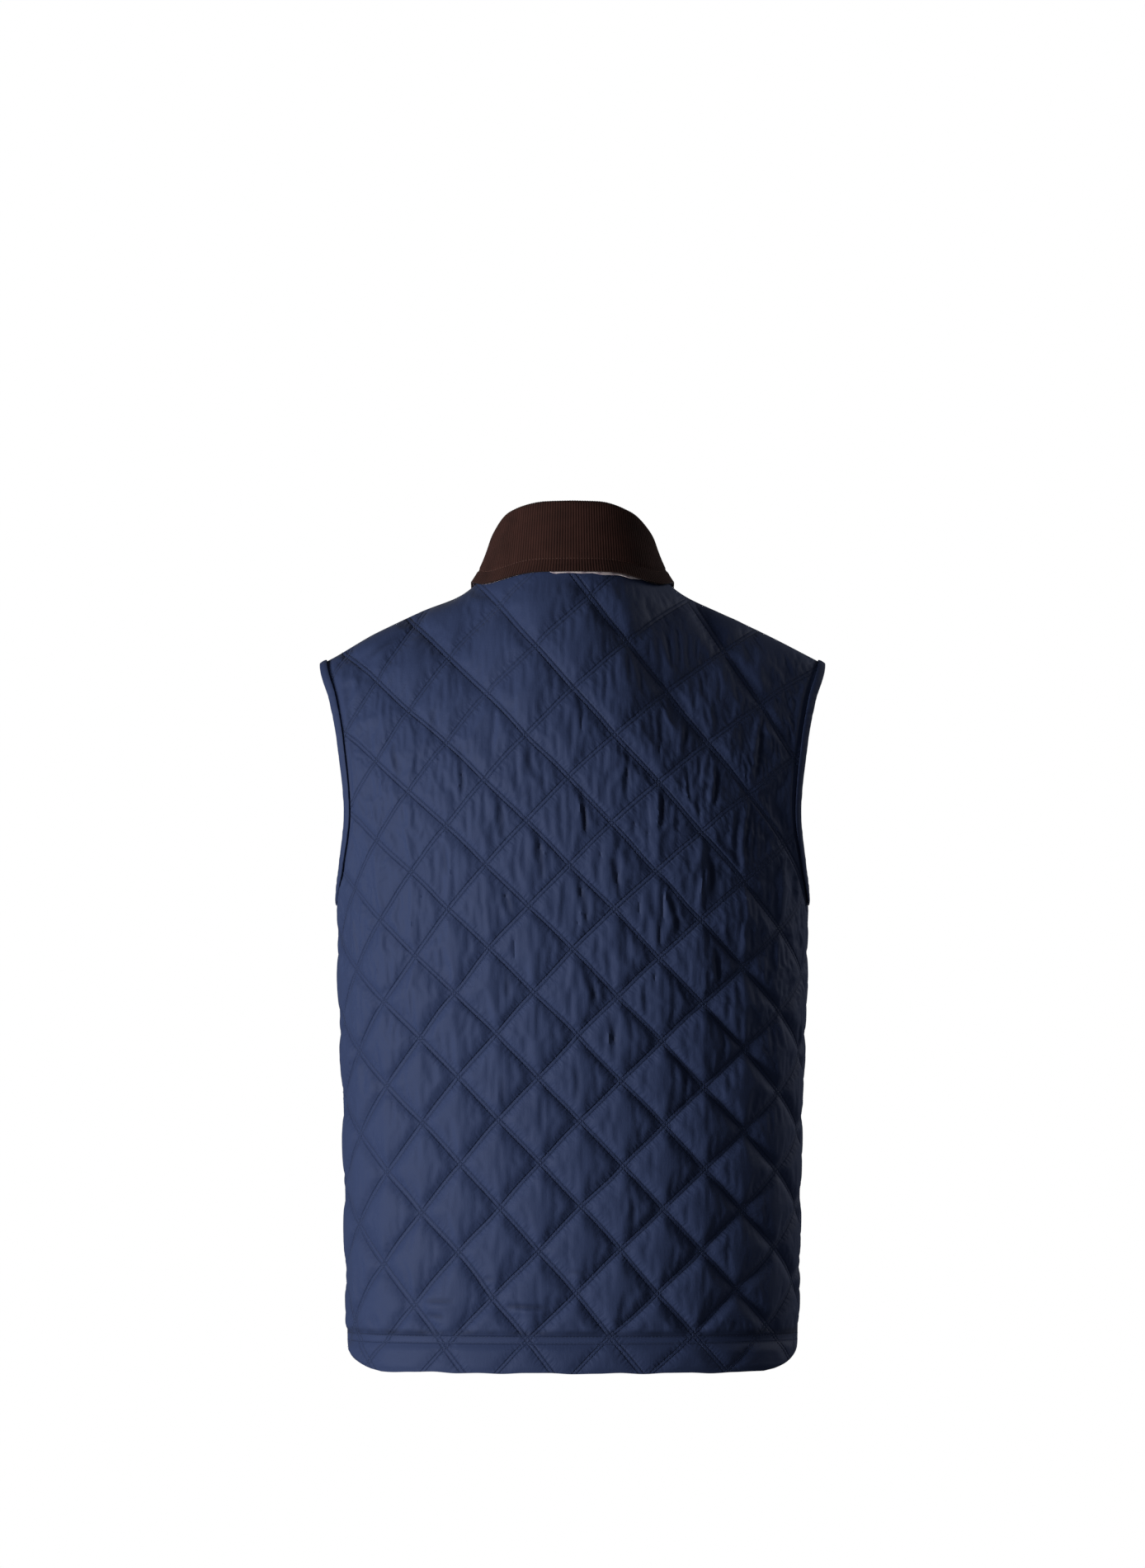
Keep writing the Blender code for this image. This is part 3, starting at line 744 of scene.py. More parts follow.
def puckers(along, height):
    """Fine and broad upright ripples, the finer about 8 mm apart and seven times as tall, swaying a
    little, patchy, and weaker low down and at the neck."""
    sway = SWAY * value_noise(along / SWAY_SIZE[0] + 9, height / SWAY_SIZE[1])
    fine = value_noise((along + sway) / FINE_SIZE[0], height / FINE_SIZE[1])
    broad = value_noise((along + sway) / BROAD_SIZE[0] + 31, height / BROAD_SIZE[1])
    patch = PATCH_MEAN + PATCH_SWING * value_noise(along / PATCH_SIZE + 7, height / PATCH_SIZE + 3)
    kept = 1 - PUCKERS_LOST * eased(height, *PUCKERS_FADE)
    strength = PUCKERS_LOW_DOWN + (1 - PUCKERS_LOW_DOWN) * eased(height, *PUCKERS_BEGIN) * kept
    return (FINE_SHARE * fine + BROAD_SHARE * broad) * patch * strength


sample = puckers(np.linspace(0.0, 0.1, 200), np.full(200, -0.25))
print("puckers over the shoulder blades reach", sample.min().round(2), "to", sample.max().round(2))

# %% [markdown]
# ## Letting the cloth settle
# Sewing draws the layers in sideways, and the wadding pushes out: that is what makes the puckers, so
# Blender's Cloth does it here. The sheet starts a little too wide, with faint ripples as seeds. The
# points on the lines are pinned, and a shape key draws them in to their place over the first frames,
# while a light pressure fills the squares. The result is read back as an array, its movement capped.

# %% A sheet with pins
SETTLE_FRAMES = 12
DRAWN_IN_SHARE = 0.6
DRAWN_IN_FRAME = round(DRAWN_IN_SHARE * SETTLE_FRAMES)
LENGTH_EASE = 0.004
PIN_LEVELS = 8


def pinned_sheet(name, start, ease, held):
    """An open sheet (1 + ease) times as wide as the start, whose shape key draws its points in to it.
    Points are pinned by how firmly they are held, in a few levels."""
    widths = np.stack((1 + ease, 1 + ease, np.ones_like(ease)), axis=-1)
    wide = start * widths
    wide[..., 2] = wide[..., 2] * (1 + LENGTH_EASE)
    sheet = new_piece(name, wide.reshape(-1, 3), [grid_quads(*start.shape[:2])])
    pins = sheet.vertex_groups.new(name="held")
    levels = np.round(PIN_LEVELS * held.ravel()).astype(int)
    for level in range(1, PIN_LEVELS + 1):
        pins.add(np.flatnonzero(levels == level).tolist(), level / PIN_LEVELS, "REPLACE")
    sheet.shape_key_add(name="cut")
    drawn_in = sheet.shape_key_add(name="drawn_in")
    drawn_in.data.foreach_set("co", start.astype(np.float32).ravel())
    for moment, value in ((1, 0.0), (DRAWN_IN_FRAME, 1.0)):
        drawn_in.value = value
        drawn_in.keyframe_insert("value", frame=moment)
    return sheet


print("pinned points are in their place at frame", DRAWN_IN_FRAME)

# %% Cloth simulation
SETTLE_CAP = 0.0042
LEAST_MOVE = 1e-9
CLOTH_SETTINGS = dict(
    quality=2, mass=0.001, tension_stiffness=15.0, compression_stiffness=15.0, shear_stiffness=5.0,
    bending_stiffness=0.010, vertex_group_mass="held", pin_stiffness=1.0, use_pressure=True,
    uniform_pressure_force=30.0,
)


def settle(name, start, ease, held):
    """How far each point has moved from its start when the pinned sheet has settled, capped."""
    sheet = pinned_sheet(name, start, ease, held)
    cloth = sheet.modifiers.new("settle", "CLOTH")
    for key, value in CLOTH_SETTINGS.items():
        setattr(cloth.settings, key, value)
    cloth.settings.effector_weights.gravity = 0.0
    cloth.collision_settings.use_collision = False
    cloth.point_cache.frame_start = 1
    cloth.point_cache.frame_end = SETTLE_FRAMES
    for moment in range(1, SETTLE_FRAMES + 1):
        bpy.context.scene.frame_set(moment)
    settled = sheet.evaluated_get(bpy.context.evaluated_depsgraph_get())
    points = np.empty(start.size, dtype=np.float32)
    settled.data.vertices.foreach_get("co", points)
    bpy.context.scene.frame_set(1)
    mesh, action = sheet.data, sheet.data.shape_keys.animation_data.action
    bpy.data.objects.remove(sheet)
    bpy.data.meshes.remove(mesh)
    bpy.data.actions.remove(action)
    moved = points.reshape(start.shape).astype(float) - start
    distance = np.linalg.norm(moved, axis=-1, keepdims=True)
    print(name, "moves by up to", round(1000 * float(distance.max()), 1), "mm")
    return moved * np.minimum(1.0, SETTLE_CAP / np.maximum(distance, LEAST_MOVE))


print("simulation:", SETTLE_FRAMES, "frames for each panel")

# %% [markdown]
# ## Towards the edges of a panel
# Puffs die away towards the bound, sewn and folded edges. Along an armhole a fine groove shows where the
# binding is sewn on. On the front edges, which the picture does not show, the cloth is turned in, rounds
# over and is sewn once. Each of these is a function of the length of cloth from that edge.

# %% Fading out at the borders
ARMHOLE_BLEND = 0.012
SEAM_FADE = (0.001, 0.007)
ARMHOLE_FADE = (0.006, 0.011)
TOP_FADE = (0.001, 0.012)
NECK_FADE = {1: (0.004, 0.016), -1: (0.010, 0.034)}
PLAIN_FADE = 0.016
GROOVE_PLACE = 0.0085
GROOVE_WIDTH = 0.0020


def edge_lengths(face):
    """Length of cloth from the top edge, and from the first and last columns."""
    down = np.linalg.norm(np.diff(face, axis=0), axis=2)
    along = np.linalg.norm(np.diff(face, axis=1), axis=2)
    from_top = np.concatenate((np.zeros((1, face.shape[1])), np.cumsum(down, axis=0)))
    from_first = np.concatenate((np.zeros((face.shape[0], 1)), np.cumsum(along, axis=1)), axis=1)
    return from_top, from_first, from_first[:, -1:] - from_first


def beyond_neck(side, face):
    """Distance in plan from the neck seam's ellipse."""
    turn = np.hypot(face[..., 0] / NECK_HALF, face[..., 1] / NECK_DEPTH[side])
    return (turn - 1) * (NECK_HALF + NECK_DEPTH[side]) / 2


def border_fade(side, face, plain_front):
    """Share of the relief left near the borders, a product of smooth steps: none at seams, edges, neck
    and lapped front. Also the length from the side edge, and the groove beside the armhole."""
    from_top, from_first, from_last = edge_lengths(face)
    armhole = eased(face[..., 2], UNDERARM_HEIGHT - ARMHOLE_BLEND, UNDERARM_HEIGHT + ARMHOLE_BLEND)
    near_side = np.minimum(from_first, from_last) if side > 0 else from_last
    start, end = (seam + more * armhole for seam, more in zip(SEAM_FADE, ARMHOLE_FADE))
    fade = eased(near_side, start, end)
    fade = fade * eased(from_top, *TOP_FADE)
    fade = fade * eased(beyond_neck(side, face), *NECK_FADE[side])
    if side < 0:
        fade = fade * eased(from_first, plain_front, plain_front + PLAIN_FADE)
    groove = armhole * np.exp(-((near_side - GROOVE_PLACE) / GROOVE_WIDTH) ** 2)
    return fade, near_side, groove * eased(from_top, *TOP_FADE)


print("relief is back in full", 1000 * (SEAM_FADE[1] + ARMHOLE_FADE[1]), "mm from an armhole")

# %% Front edges
FRONT_STITCH = 0.008
EDGE_ROUND = 0.0009
EDGE_REACH = 0.0045
EDGE_DRAWN = 0.0008
EDGE_DRAWN_WIDTH = 0.0024


def front_edge(side, face):
    """Length of cloth from a front's edge, or far off on the back, and how far the cloth goes in there:
    it rounds over at the edge, and a row of stitches draws it in a little further on."""
    from_top, from_first, _ = edge_lengths(face)
    away = from_first if side < 0 else np.ones_like(from_first)
    rounded = EDGE_ROUND * (1 - eased(away, 0.0, EDGE_REACH))
    drawn = EDGE_DRAWN * np.exp(-((away - FRONT_STITCH) / EDGE_DRAWN_WIDTH) ** 2)
    return away, rounded + drawn * eased(from_top, *TOP_FADE)


print("front edges are sewn", round(1000 * FRONT_STITCH), "mm in")

# %% [markdown]
# ## Small shifts of the whole cloth
# Real cloth is not as even as the form. The wadding holds it up along the shoulder seams, more on the left
# in the picture, and the hem's fold waves a little. Both are plain upward shifts of the face, made before
# the quilting, so that the quilting follows them.

# %% Shoulders and hem
LIFT_LEFT = 0.0028
LIFT_RIGHT = 0.0004
LIFT_RISE = (0.090, 0.130)
LIFT_FALL = (0.165, 0.205)
LIFT_REACH = 0.03
HEM_WAVE = 0.0009
HEM_WAVE_LENGTH = 0.020
HEM_WAVE_MIDDLE = 1.4
HEM_WAVE_ROW = 2.5


def shoulder_ease(face, mirror):
    """The wadding holds the cloth up along the middle of each shoulder seam, the left one more. The
    lift is straight up and depends on x alone at the seam, so that back and front still meet there."""
    from_top = edge_lengths(face)[0]
    x = np.abs(face[..., 0])
    most = np.where(face[..., 0] * mirror > 0, LIFT_LEFT, LIFT_RIGHT)
    lift = most * eased(x, *LIFT_RISE) * (1 - eased(x, *LIFT_FALL)) * np.exp(-from_top / LIFT_REACH)
    return lift[..., None] * np.array([0.0, 0.0, 1.0])


def hem_wave(face):
    """Small rises and dips of the hem's fold, which die out towards the hem's stitches."""
    height = face[..., 2]
    share = 1 - eased(height, HEM_HEIGHT, HEM_STITCH_HEIGHT)
    wave = value_noise(along_cloth(face) / HEM_WAVE_LENGTH + 17, np.full_like(height, HEM_WAVE_ROW))
    return HEM_WAVE * share * (HEM_WAVE_MIDDLE + wave)


print("shoulders are eased up by", 1000 * LIFT_LEFT, "and", 1000 * LIFT_RIGHT, "mm")

# %% [markdown]
# ## Relief of the quilted cloth
# Now the parts come together. Puffs, crown and puckers make the start from which the cloth settles, and
# creases are pressed in afterwards. One family of lines is weaker high on the back, as in the picture. The
# hem is turned up and sewn twice, so it is a flatter band below a groove.

# %% Bands of the hem
HEM_SOFTENING = 0.003
HEM_SEWN = (0.0025, 0.0110)
HEM_FOLD = 0.007


def hem_bands(height):
    """Distance from the hem's stitches, the share that lies below them, and the share that is clear
    of the stitches and of the fold, each a smooth step of the height."""
    band = np.abs(height - HEM_STITCH_HEIGHT)
    below = 1 - eased(height, HEM_STITCH_HEIGHT - HEM_SOFTENING, HEM_STITCH_HEIGHT + HEM_SOFTENING)
    clear = eased(band, *HEM_SEWN) * eased(height, HEM_HEIGHT, HEM_HEIGHT + HEM_FOLD)
    return band, below, clear


print("the hem is turned up by", round(1000 * (HEM_STITCH_HEIGHT - HEM_HEIGHT)), "mm")

# %% A panel's relief
PUFF = 0.0026
CROWN = 0.0006
PUCKER = 0.0005
CREASE_ON_LINES = 0.3
LINE_LEVEL = 0.70
WEAKER = 0.45
WEAKER_FROM = (-0.32, -0.20)
FULLER = 0.45
FULLER_FROM = (-0.42, -0.26)
HEM_FLATTER = 0.6
HEM_PUFF = 0.0012
HEM_GROOVE = 0.0024
HEM_GROOVE_WIDTH = 0.0055
ARMHOLE_GROOVE = 0.0010
SIDE_FADE = 0.009
HELD_NEAR = (0.0018, 0.0034)
HELD_WHERE_FADED = (0.10, 0.60)
LOOSE_FROM = (0.0010, 0.0042)


def quilt_relief(side, face, mirror, plain_front):
    """How far the cloth stands out before it settles, how far its creases go in, how firmly each
    point is held, how much each point may move, and its place in the pattern."""
    x, height = face[..., 0], face[..., 2]
    along = along_cloth(face)
    distance, square = line_distances(side, along, height)
    fade, near_side, groove = border_fade(side, face, plain_front)
    weak = 1 - WEAKER * eased(height, *WEAKER_FROM)
    fill = cell_fill[square[0] % FILL_CELLS, square[1] % FILL_CELLS]
    pillow = swell(distance[0]) * (1 - weak * (1 - swell(distance[1])))
    crown = swell(distance[0], SQUARE / 2) * swell(distance[1], SQUARE / 2) * fill
    ripple = PUCKER * puckers(along, height) * pillow
    pressed = CREASE_ON_LINES + (1 - CREASE_ON_LINES) * pillow
    crease = CREASE * creases(x, height, mirror) * pressed
    band, below, clear = hem_bands(height)
    free = fade * clear * (1 - HEM_FLATTER * below)
    side_fade = eased(near_side, 0.0, SIDE_FADE)
    fuller = 1 + FULLER * (1 - eased(height, *FULLER_FROM))
    out = free * (fuller * PUFF * (pillow - LINE_LEVEL) + CROWN * crown + ripple)
    out = out + side_fade * below * clear * HEM_PUFF
    hem_groove = side_fade * HEM_GROOVE * np.exp(-(band / HEM_GROOVE_WIDTH) ** 2)
    out = out - hem_groove - ARMHOLE_GROOVE * groove
    nearest = np.min(distance, axis=0)
    held = 1 - eased(nearest, *HELD_NEAR) * eased(free, *HELD_WHERE_FADED)
    loose = free * eased(nearest, *LOOSE_FROM)
    return out, free * crease, held, loose, pillow * fade, np.stack(pattern_place(side, along, height))


puff_heights = [round(1000 * PUFF * share, 1) for share in (1, 1 + FULLER)]
print("puffs above the lines, high up and low down, mm:", puff_heights)

# %% [markdown]
# ## The back
# A panel is the form's face moved in and out along its normals, and it is the largest piece of the vest.
# Its inner skin lies a cloth's thickness behind, with shallow puffs of its own. The back is one piece
# from side to side, as it is cut.

# %% Quilted panels, and the back
STEP = 4
INNER_PUFF = 0.0014
SEWING_EASE = 0.012
UPPER_EASE = 0.016
UPPER_FROM = (-0.48, -0.30)
MIRRORED = np.array([-1.0, 1.0, 1.0])


def quilted_panel(name, side, across, rows, lift=None, mirror=1, flip=False, plain_front=0.0):
    """Outer grid with its relief, inner grid a wall behind it with shallow puffs of its own. On the seams
    the inner grids meet, behind a fine groove between the outer ones. Gives the piece and what its
    stitching needs: outer points, normals and pattern places."""
    down = np.linspace(0.0, 1.0, rows)
    face = panel_face(side, across[None, :], down[:, None])
    normal = outward_normals(face, side)
    if lift is not None:
        face = face + lift[None, :, None] * normal
    face = face + shoulder_ease(face, mirror)
    face[..., 2] += hem_wave(face)
    out, crease, held, loose, pillow, place = quilt_relief(side, face, mirror, plain_front)
    away, edge_in = front_edge(side, face)
    outside = face + (out - edge_in)[..., None] * normal
    ease = SEWING_EASE + UPPER_EASE * eased(face[..., 2], *UPPER_FROM)
    outside = outside + loose[..., None] * settle(name + "_sheet", outside, ease, held)
    outside = outside + crease[..., None] * normal
    inside = face - (WALL + INNER_PUFF * pillow)[..., None] * normal
    depth = side * inside[..., 1]
    inside[..., 1] = side * np.where(depth > GAP, depth, 0.0)
    uv = np.stack((along_cloth(face), face[..., 2]), axis=-1)
    if flip:
        outside, inside, normal, face = (grid * MIRRORED for grid in (outside, inside, normal, face))
    # the trough share also darkens the creases in the finish, as painted shade
    marks = {"puff": pillow, "trough": np.clip(-crease / CREASE, 0, 1), "front_edge": away,
             "line_sum": place[0] + place[1], "line_difference": place[0] - place[1]}
    piece = shell(name, outside, inside[::STEP, ::STEP], (STEP, STEP), uv, marks)
    return piece, {"points": outside, "normals": normal, "face": face, **marks}


def whole_steps(count):
    """The nearest count of points that leaves a whole number of coarse steps."""
    return STEP * round(count / STEP) + 1


ROWS = whole_steps(330)
BACK_COLUMNS = whole_steps(264)
back_across = np.linspace(-1.0, 1.0, BACK_COLUMNS)
back, back_grid = quilted_panel("quilted_back", 1, back_across, ROWS)
print("back:", len(back.data.vertices), "points")

# %% [markdown]
# ## The two fronts
# The picture does not show the front. The left front laps over the right one, so near the centre it is
# lifted by the thickness of the cloth below. Both are made as left fronts, and the right one is mirrored.
# Their columns stand closer together towards the front edge, where the sewn fold needs them.

# %% The two fronts, the left one lapping over the right
LAP = 0.015
LAP_GAP = 0.0006
LAP_LIFT = WALL + LAP_GAP
PLAIN_FRONT = 0.034
LAP_TURN = np.radians([15.0, 45.0])
FRONT_COLUMNS = whole_steps(152)
CROWDING = 1.5
lap_from, lap_to = across_at(NECK_HALF * np.sin(LAP_TURN))
lap_edge = across_at(-LAP)
spread = np.linspace(0.0, 1.0, FRONT_COLUMNS)
front_across = lap_edge + (1 - lap_edge) * (spread + spread ** CROWDING) / 2
lap_lift = LAP_LIFT * (1 - eased(front_across, lap_from, lap_to))
front_left, left_grid = quilted_panel(
    "quilted_front_left", -1, front_across, ROWS, lap_lift, plain_front=PLAIN_FRONT)
front_right, right_grid = quilted_panel(
    "quilted_front_right", -1, front_across, ROWS, mirror=-1, flip=True, plain_front=PLAIN_FRONT)
for piece in (front_left, front_right):
    print(piece.name, len(piece.data.vertices), "points")

# %% [markdown]
# ## Quilting thread
# Twin needles leave two rows of small stitches, 3 mm apart, down in every line. Each stitch is a
# spindle with six points. The rows are found on the finished panels: a line is where the pattern's sum
# or difference crosses a whole number between two neighbouring points of the grid.


# %% Where a row of stitches runs
def crossing_run(values, level, order, points, normals):
    """Points and normals where a grid's rows cross a level, sorted along the line by another grid."""
    low, high = values[:, :-1], values[:, 1:]
    i, j = np.nonzero((low - level) * (high - level) < 0)
    t = ((level - low[i, j]) / (high[i, j] - low[i, j]))[:, None]
    sequence = np.argsort(order[i, j] * (1 - t[:, 0]) + order[i, j + 1] * t[:, 0])
    return [(grid[i, j] * (1 - t) + grid[i, j + 1] * t)[sequence] for grid in (points, normals)]


def front_row(grid):
    """The row of stitches beside a front's edge, from the hem up."""
    height = grid["face"][..., 2]
    return crossing_run(grid["front_edge"], FRONT_STITCH, height, grid["points"], grid["normals"])


print("the left front's row crosses", len(front_row(left_grid)[0]), "rows of its grid")

# %% Stitches along a row
STITCH_PITCH = 0.0032
LONGEST_STEP = 0.008


def stitch_places(points, normals):
    """Centres, directions and normals of stitches set evenly along a run, with none across a break."""
    steps = np.linalg.norm(np.diff(points, axis=0), axis=1)
    length = np.concatenate(([0.0], np.cumsum(steps)))
    at = np.arange(STITCH_PITCH / 2, length[-1], STITCH_PITCH)
    whole = steps[np.clip(np.searchsorted(length, at) - 1, 0, len(steps) - 1)] < LONGEST_STEP
    centre, normal = (np.stack([np.interp(at, length, axis) for axis in values.T], axis=1)
                      for values in (points, normals))
    return [values[whole] for values in (centre, np.gradient(centre, axis=0), normal)]


print("stitches in that row:", len(stitch_places(*front_row(left_grid))[0]))

# %% Stitches as spindles
STITCH_SIZE = (0.0024, 0.0006, 0.0006)
STITCH_LIFT = 0.0001
LEAST_RUN = 4
SPINDLE = np.array([
    (0, 2, 4), (2, 1, 4), (1, 3, 4), (3, 0, 4),
    (2, 0, 5), (1, 2, 5), (3, 1, 5), (0, 3, 5)])


def sew(name, runs):
    """One mesh of spindles along a list of runs."""
    places = [stitch_places(*run) for run in runs if len(run[0]) >= LEAST_RUN]
    places = [place for place in places if len(place[0]) > 1]
    centre, along, out = (np.concatenate(values) for values in zip(*places))
    along = along / np.linalg.norm(along, axis=1, keepdims=True)
    beside = np.cross(out, along)
    beside = beside / np.linalg.norm(beside, axis=1, keepdims=True)
    axes = along, beside, np.cross(along, beside)
    reach = [axis * size / 2 for axis, size in zip(axes, STITCH_SIZE)]
    ends = np.stack([sign * axis for axis in reach for sign in (1, -1)], axis=1)
    points = (centre + STITCH_LIFT * out)[:, None, :] + ends
    faces = SPINDLE[None] + ends.shape[1] * np.arange(len(centre))[:, None, None]
    print(name, len(centre), "stitches")
    return new_piece(name, points.reshape(-1, 3), [faces.reshape(-1, 3)])


print("a stitch has", len(SPINDLE), "triangles")

# %% Thread of the three panels
LINE_KEYS = ("line_sum", "line_difference")
ROW_OFFSET = 0.0015
HEM_ROW_OFFSET = 0.0028


def quilting_runs(grid):
    """Both rows of every line of both families, the front edge's row and the twin rows of the hem."""
    skin = grid["points"], grid["normals"]
    runs = [front_row(grid)]
    for key, other in (LINE_KEYS, LINE_KEYS[::-1]):
        values = grid[key]
        for number in range(math.ceil(values.min()), math.floor(values.max()) + 1):
            for shift in (-ROW_OFFSET, ROW_OFFSET):
                runs.append(crossing_run(values, number + shift / SQUARE, grid[other], *skin))
    face, *turned = (np.swapaxes(values, 0, 1) for values in (grid["face"], *skin))
    for shift in (-HEM_ROW_OFFSET, HEM_ROW_OFFSET):
        runs.append(crossing_run(face[..., 2], HEM_STITCH_HEIGHT + shift, face[..., 0], *turned))
    return runs


sewn_grids = {"back": back_grid, "left_front": left_grid, "right_front": right_grid}
threads = [sew(f"{place}_quilting_thread", quilting_runs(grid)) for place, grid in sewn_grids.items()]

# %% [markdown]
# ## Armhole bindings
# A strip of plain cloth, cut on the bias so that it stretches round the curve, is folded over each raw
# armhole edge. Its section is a flat U with a rounded back, carried round a closed loop. Small puckers
# show where the curve has gathered it.

# %% The armhole's edge
LOOP_POINTS = 230
FINE_POINTS = 3000
SMALL_STEP = 1e-4
TINY = 1e-6
WIDTH_SEARCH = (0.10, 0.26)


def width_over(side, depth, height):
    """Distance from the centre at which the outer face has a given depth and height."""
    def deep_enough(x):
        """True where the face at this distance from the centre is deeper than asked for."""
        return np.abs(surface_depth(side, x, height)) > np.abs(depth) + TINY

    return halved(deep_enough, *(np.full_like(height, x) for x in WIDTH_SEARCH))


def half_loop(side):
    """Edge points from shoulder tip to underarm at even distances, with inward and outward
    directions: the outward one is across x down, the inward one outward x tangent."""
    last = (UNDERARM_HEIGHT - TIP_HEIGHT) / (HEM_HEIGHT - TIP_HEIGHT)
    fine = last * (1 - np.cos(np.linspace(0, math.pi, FINE_POINTS))) / 2
    edge = panel_face(side, np.ones_like(fine), fine)
    length = np.concatenate(([0.0], np.cumsum(np.linalg.norm(np.diff(edge, axis=0), axis=1))))
    down = np.interp(np.linspace(0, length[-1], LOOP_POINTS), length, fine)
    edge = panel_face(side, np.ones_like(down), down)
    by_across = edge - panel_face(side, np.full_like(down, 1 - SMALL_STEP), down)
    by_down = panel_face(side, np.ones_like(down), down + SMALL_STEP) - edge
    tangent = np.gradient(edge, axis=0)
    tangent[[0, -1]] = (0.0, side, 0.0), (0.0, -side, 0.0)
    normal = np.cross(by_across, by_down)
    normal[0, 1] = 0.0
    normal[-1] = (1.0, 0.0, 0.0)
    normal *= np.sign(normal[:, :1])
    normal /= np.linalg.norm(normal, axis=1, keepdims=True)
    inward = np.cross(normal, tangent) * side
    inward /= np.linalg.norm(inward, axis=1, keepdims=True)
    return edge, inward, normal


armhole_edges = [half_loop(side)[0] for side in DEPTH_COLUMN]
armhole_round = sum(np.linalg.norm(np.diff(edge, axis=0), axis=1).sum() for edge in armhole_edges)
print("round an armhole, mm:", round(1000 * armhole_round))

# %% [markdown]
# ## The strip folded over the edge
# The section is a path through the cloth's width: in along the outer face, round the raw edge and back
# along the inner face. Two such paths, a cloth's thickness apart, are carried along the armhole. A curve
# with a bevel could do this too, but it would not lie flat on both faces of the panel.


# %% A path carried round the armhole
def bound_skin(side, inwards, lifts):
    """Points of the section's path carried along the edge: each lies on the panel's face at its
    distance inwards, moved along the normal. Beyond the edge it goes straight out."""
    edge, inward, normal = half_loop(side)
    point = edge[:, None, :] + np.maximum(inwards, 0)[None, :, None] * inward[:, None, :]
    point[..., 1] = side * np.maximum(side * point[..., 1], 0.0)
    on_face = width_over(side, point[..., 1], point[..., 2])
    point[..., 0] = np.where(inwards[None, :] > 0, on_face, point[..., 0])
    point = point + np.minimum(inwards, 0)[None, :, None] * inward[:, None, :]
    return point + lifts[..., None] * normal[:, None, :]


def bound_loop(inwards, lifts):
    """Down the back's edge and up the front's, meeting on the seam plane."""
    halves = [bound_skin(side, inwards, lifts) for side in (1, -1)]
    for row in (0, -1):
        shared = (halves[0][row] + halves[1][row]) / 2
        shared[:, 1] = 0.0
        halves[0][row] = shared
    return np.concatenate((halves[0], halves[1][-2:0:-1]))


print("sections round an armhole:", len(bound_loop(np.zeros(1), np.zeros((1, 1)))))

# %% Outer and inner path of the strip
BINDING_WIDTH = 0.006
BINDING_GAP = 0.0007
BINDING_CLOTH = 0.0010
BINDING_TURN_POINTS = 9
GATHER = 0.00030
GATHER_POINTS = 3.1
GATHER_ROW = 5.5
LEG = table(
    "share lift",
    (1.0, 0.15), (0.98, 0.75), (0.85, 1.1), (0.62, 1.35), (0.36, 1.25), (0.12, 1.05),
)
turn = np.linspace(math.pi / 2, -math.pi / 2, BINDING_TURN_POINTS)
leg = LEG["share"] * BINDING_WIDTH
leg_lift = BINDING_GAP + BINDING_CLOTH * LEG["lift"]
flat_lift = np.full(len(LEG), BINDING_GAP)
outer_half = WALL / 2 + BINDING_GAP + BINDING_CLOTH
inner_half = WALL / 2 + BINDING_GAP
outer_in = np.concatenate((leg, -(BINDING_GAP + BINDING_CLOTH) * np.cos(turn), leg[::-1]))
outer_lift = np.concatenate((leg_lift, -WALL / 2 + outer_half * np.sin(turn), -WALL - leg_lift[::-1]))
inner_in = np.concatenate((leg, -BINDING_GAP * np.cos(turn), leg[::-1]))
inner_lift = np.concatenate((flat_lift, -WALL / 2 + inner_half * np.sin(turn), -WALL - flat_lift))
gathers = value_noise(np.arange(LOOP_POINTS) / GATHER_POINTS, np.full(LOOP_POINTS, GATHER_ROW))[:, None]
gathered = outer_lift + GATHER * gathers * np.where(outer_lift > 0, 1, -1)
bound_outside = bound_loop(outer_in, gathered)
bound_inside = bound_loop(inner_in, np.tile(inner_lift, (LOOP_POINTS, 1)))
print("points across the strip:", len(outer_in))

# %% Bindings as pieces
SECTION_ROUND = 4 * BINDING_WIDTH


def binding(name, mirror):
    """Outer and inner skins joined along both legs' edges into one ring."""
    rows, columns = bound_outside.shape[:2]
    section = np.concatenate((bound_outside, bound_inside[:, ::-1]), axis=1)
    section = section * np.array([mirror, 1.0, 1.0])
    length = np.linalg.norm(np.diff(section[:, columns // 2], axis=0), axis=1).sum()
    run = np.linspace(0, length, rows)[:, None] + np.zeros(2 * columns)
    across = np.linspace(0, SECTION_ROUND, 2 * columns) + np.zeros((rows, 1))
    uv = np.stack((run, across), axis=-1).reshape(-1, 2)
    faces = grid_quads(rows, 2 * columns, 0, True, True)
    return new_piece(name, section.reshape(-1, 3), [faces], uv)


binding_left = binding("left_armhole_binding", 1.0)
binding_right = binding("right_armhole_binding", -1.0)
print("each binding:", len(binding_left.data.polygons), "faces")

# %% [markdown]
# ## The collar
# The collar is a strip of brown fine-wale corduroy. It stands up from the neck seam, rolls over and
# falls back on the shoulders, held a little off them by its own stiffness. A flat strip could be folded
# by a simulation, but where it comes to rest would be hard to steer. So its section is drawn at every
# angle round the neck, from a table of what the picture shows.

# %% Sizes of the collar
COLLAR_END = 176.0
COLLAR = table(
    "angle fold_height fall_reach clearance edge_clearance",
    (0.0, 0.0651, 0.0046, 0.0045, 0.0042),
    (18.0, 0.0645, 0.0048, 0.0045, 0.0042),
    (44.0, 0.0560, 0.0050, 0.0045, 0.0040),
    (65.0, 0.0420, 0.0062, 0.0048, 0.0040),
    (90.0, 0.0245, 0.0074, 0.0064, 0.0042),
    (130.0, -0.0110, 0.0112, 0.0078, 0.0074),
    (COLLAR_END, -0.0380, 0.0165, 0.0092, 0.0092),
)
LEAN = {"angle": 48.0, "spread": 22.0, "shift": 5.0}


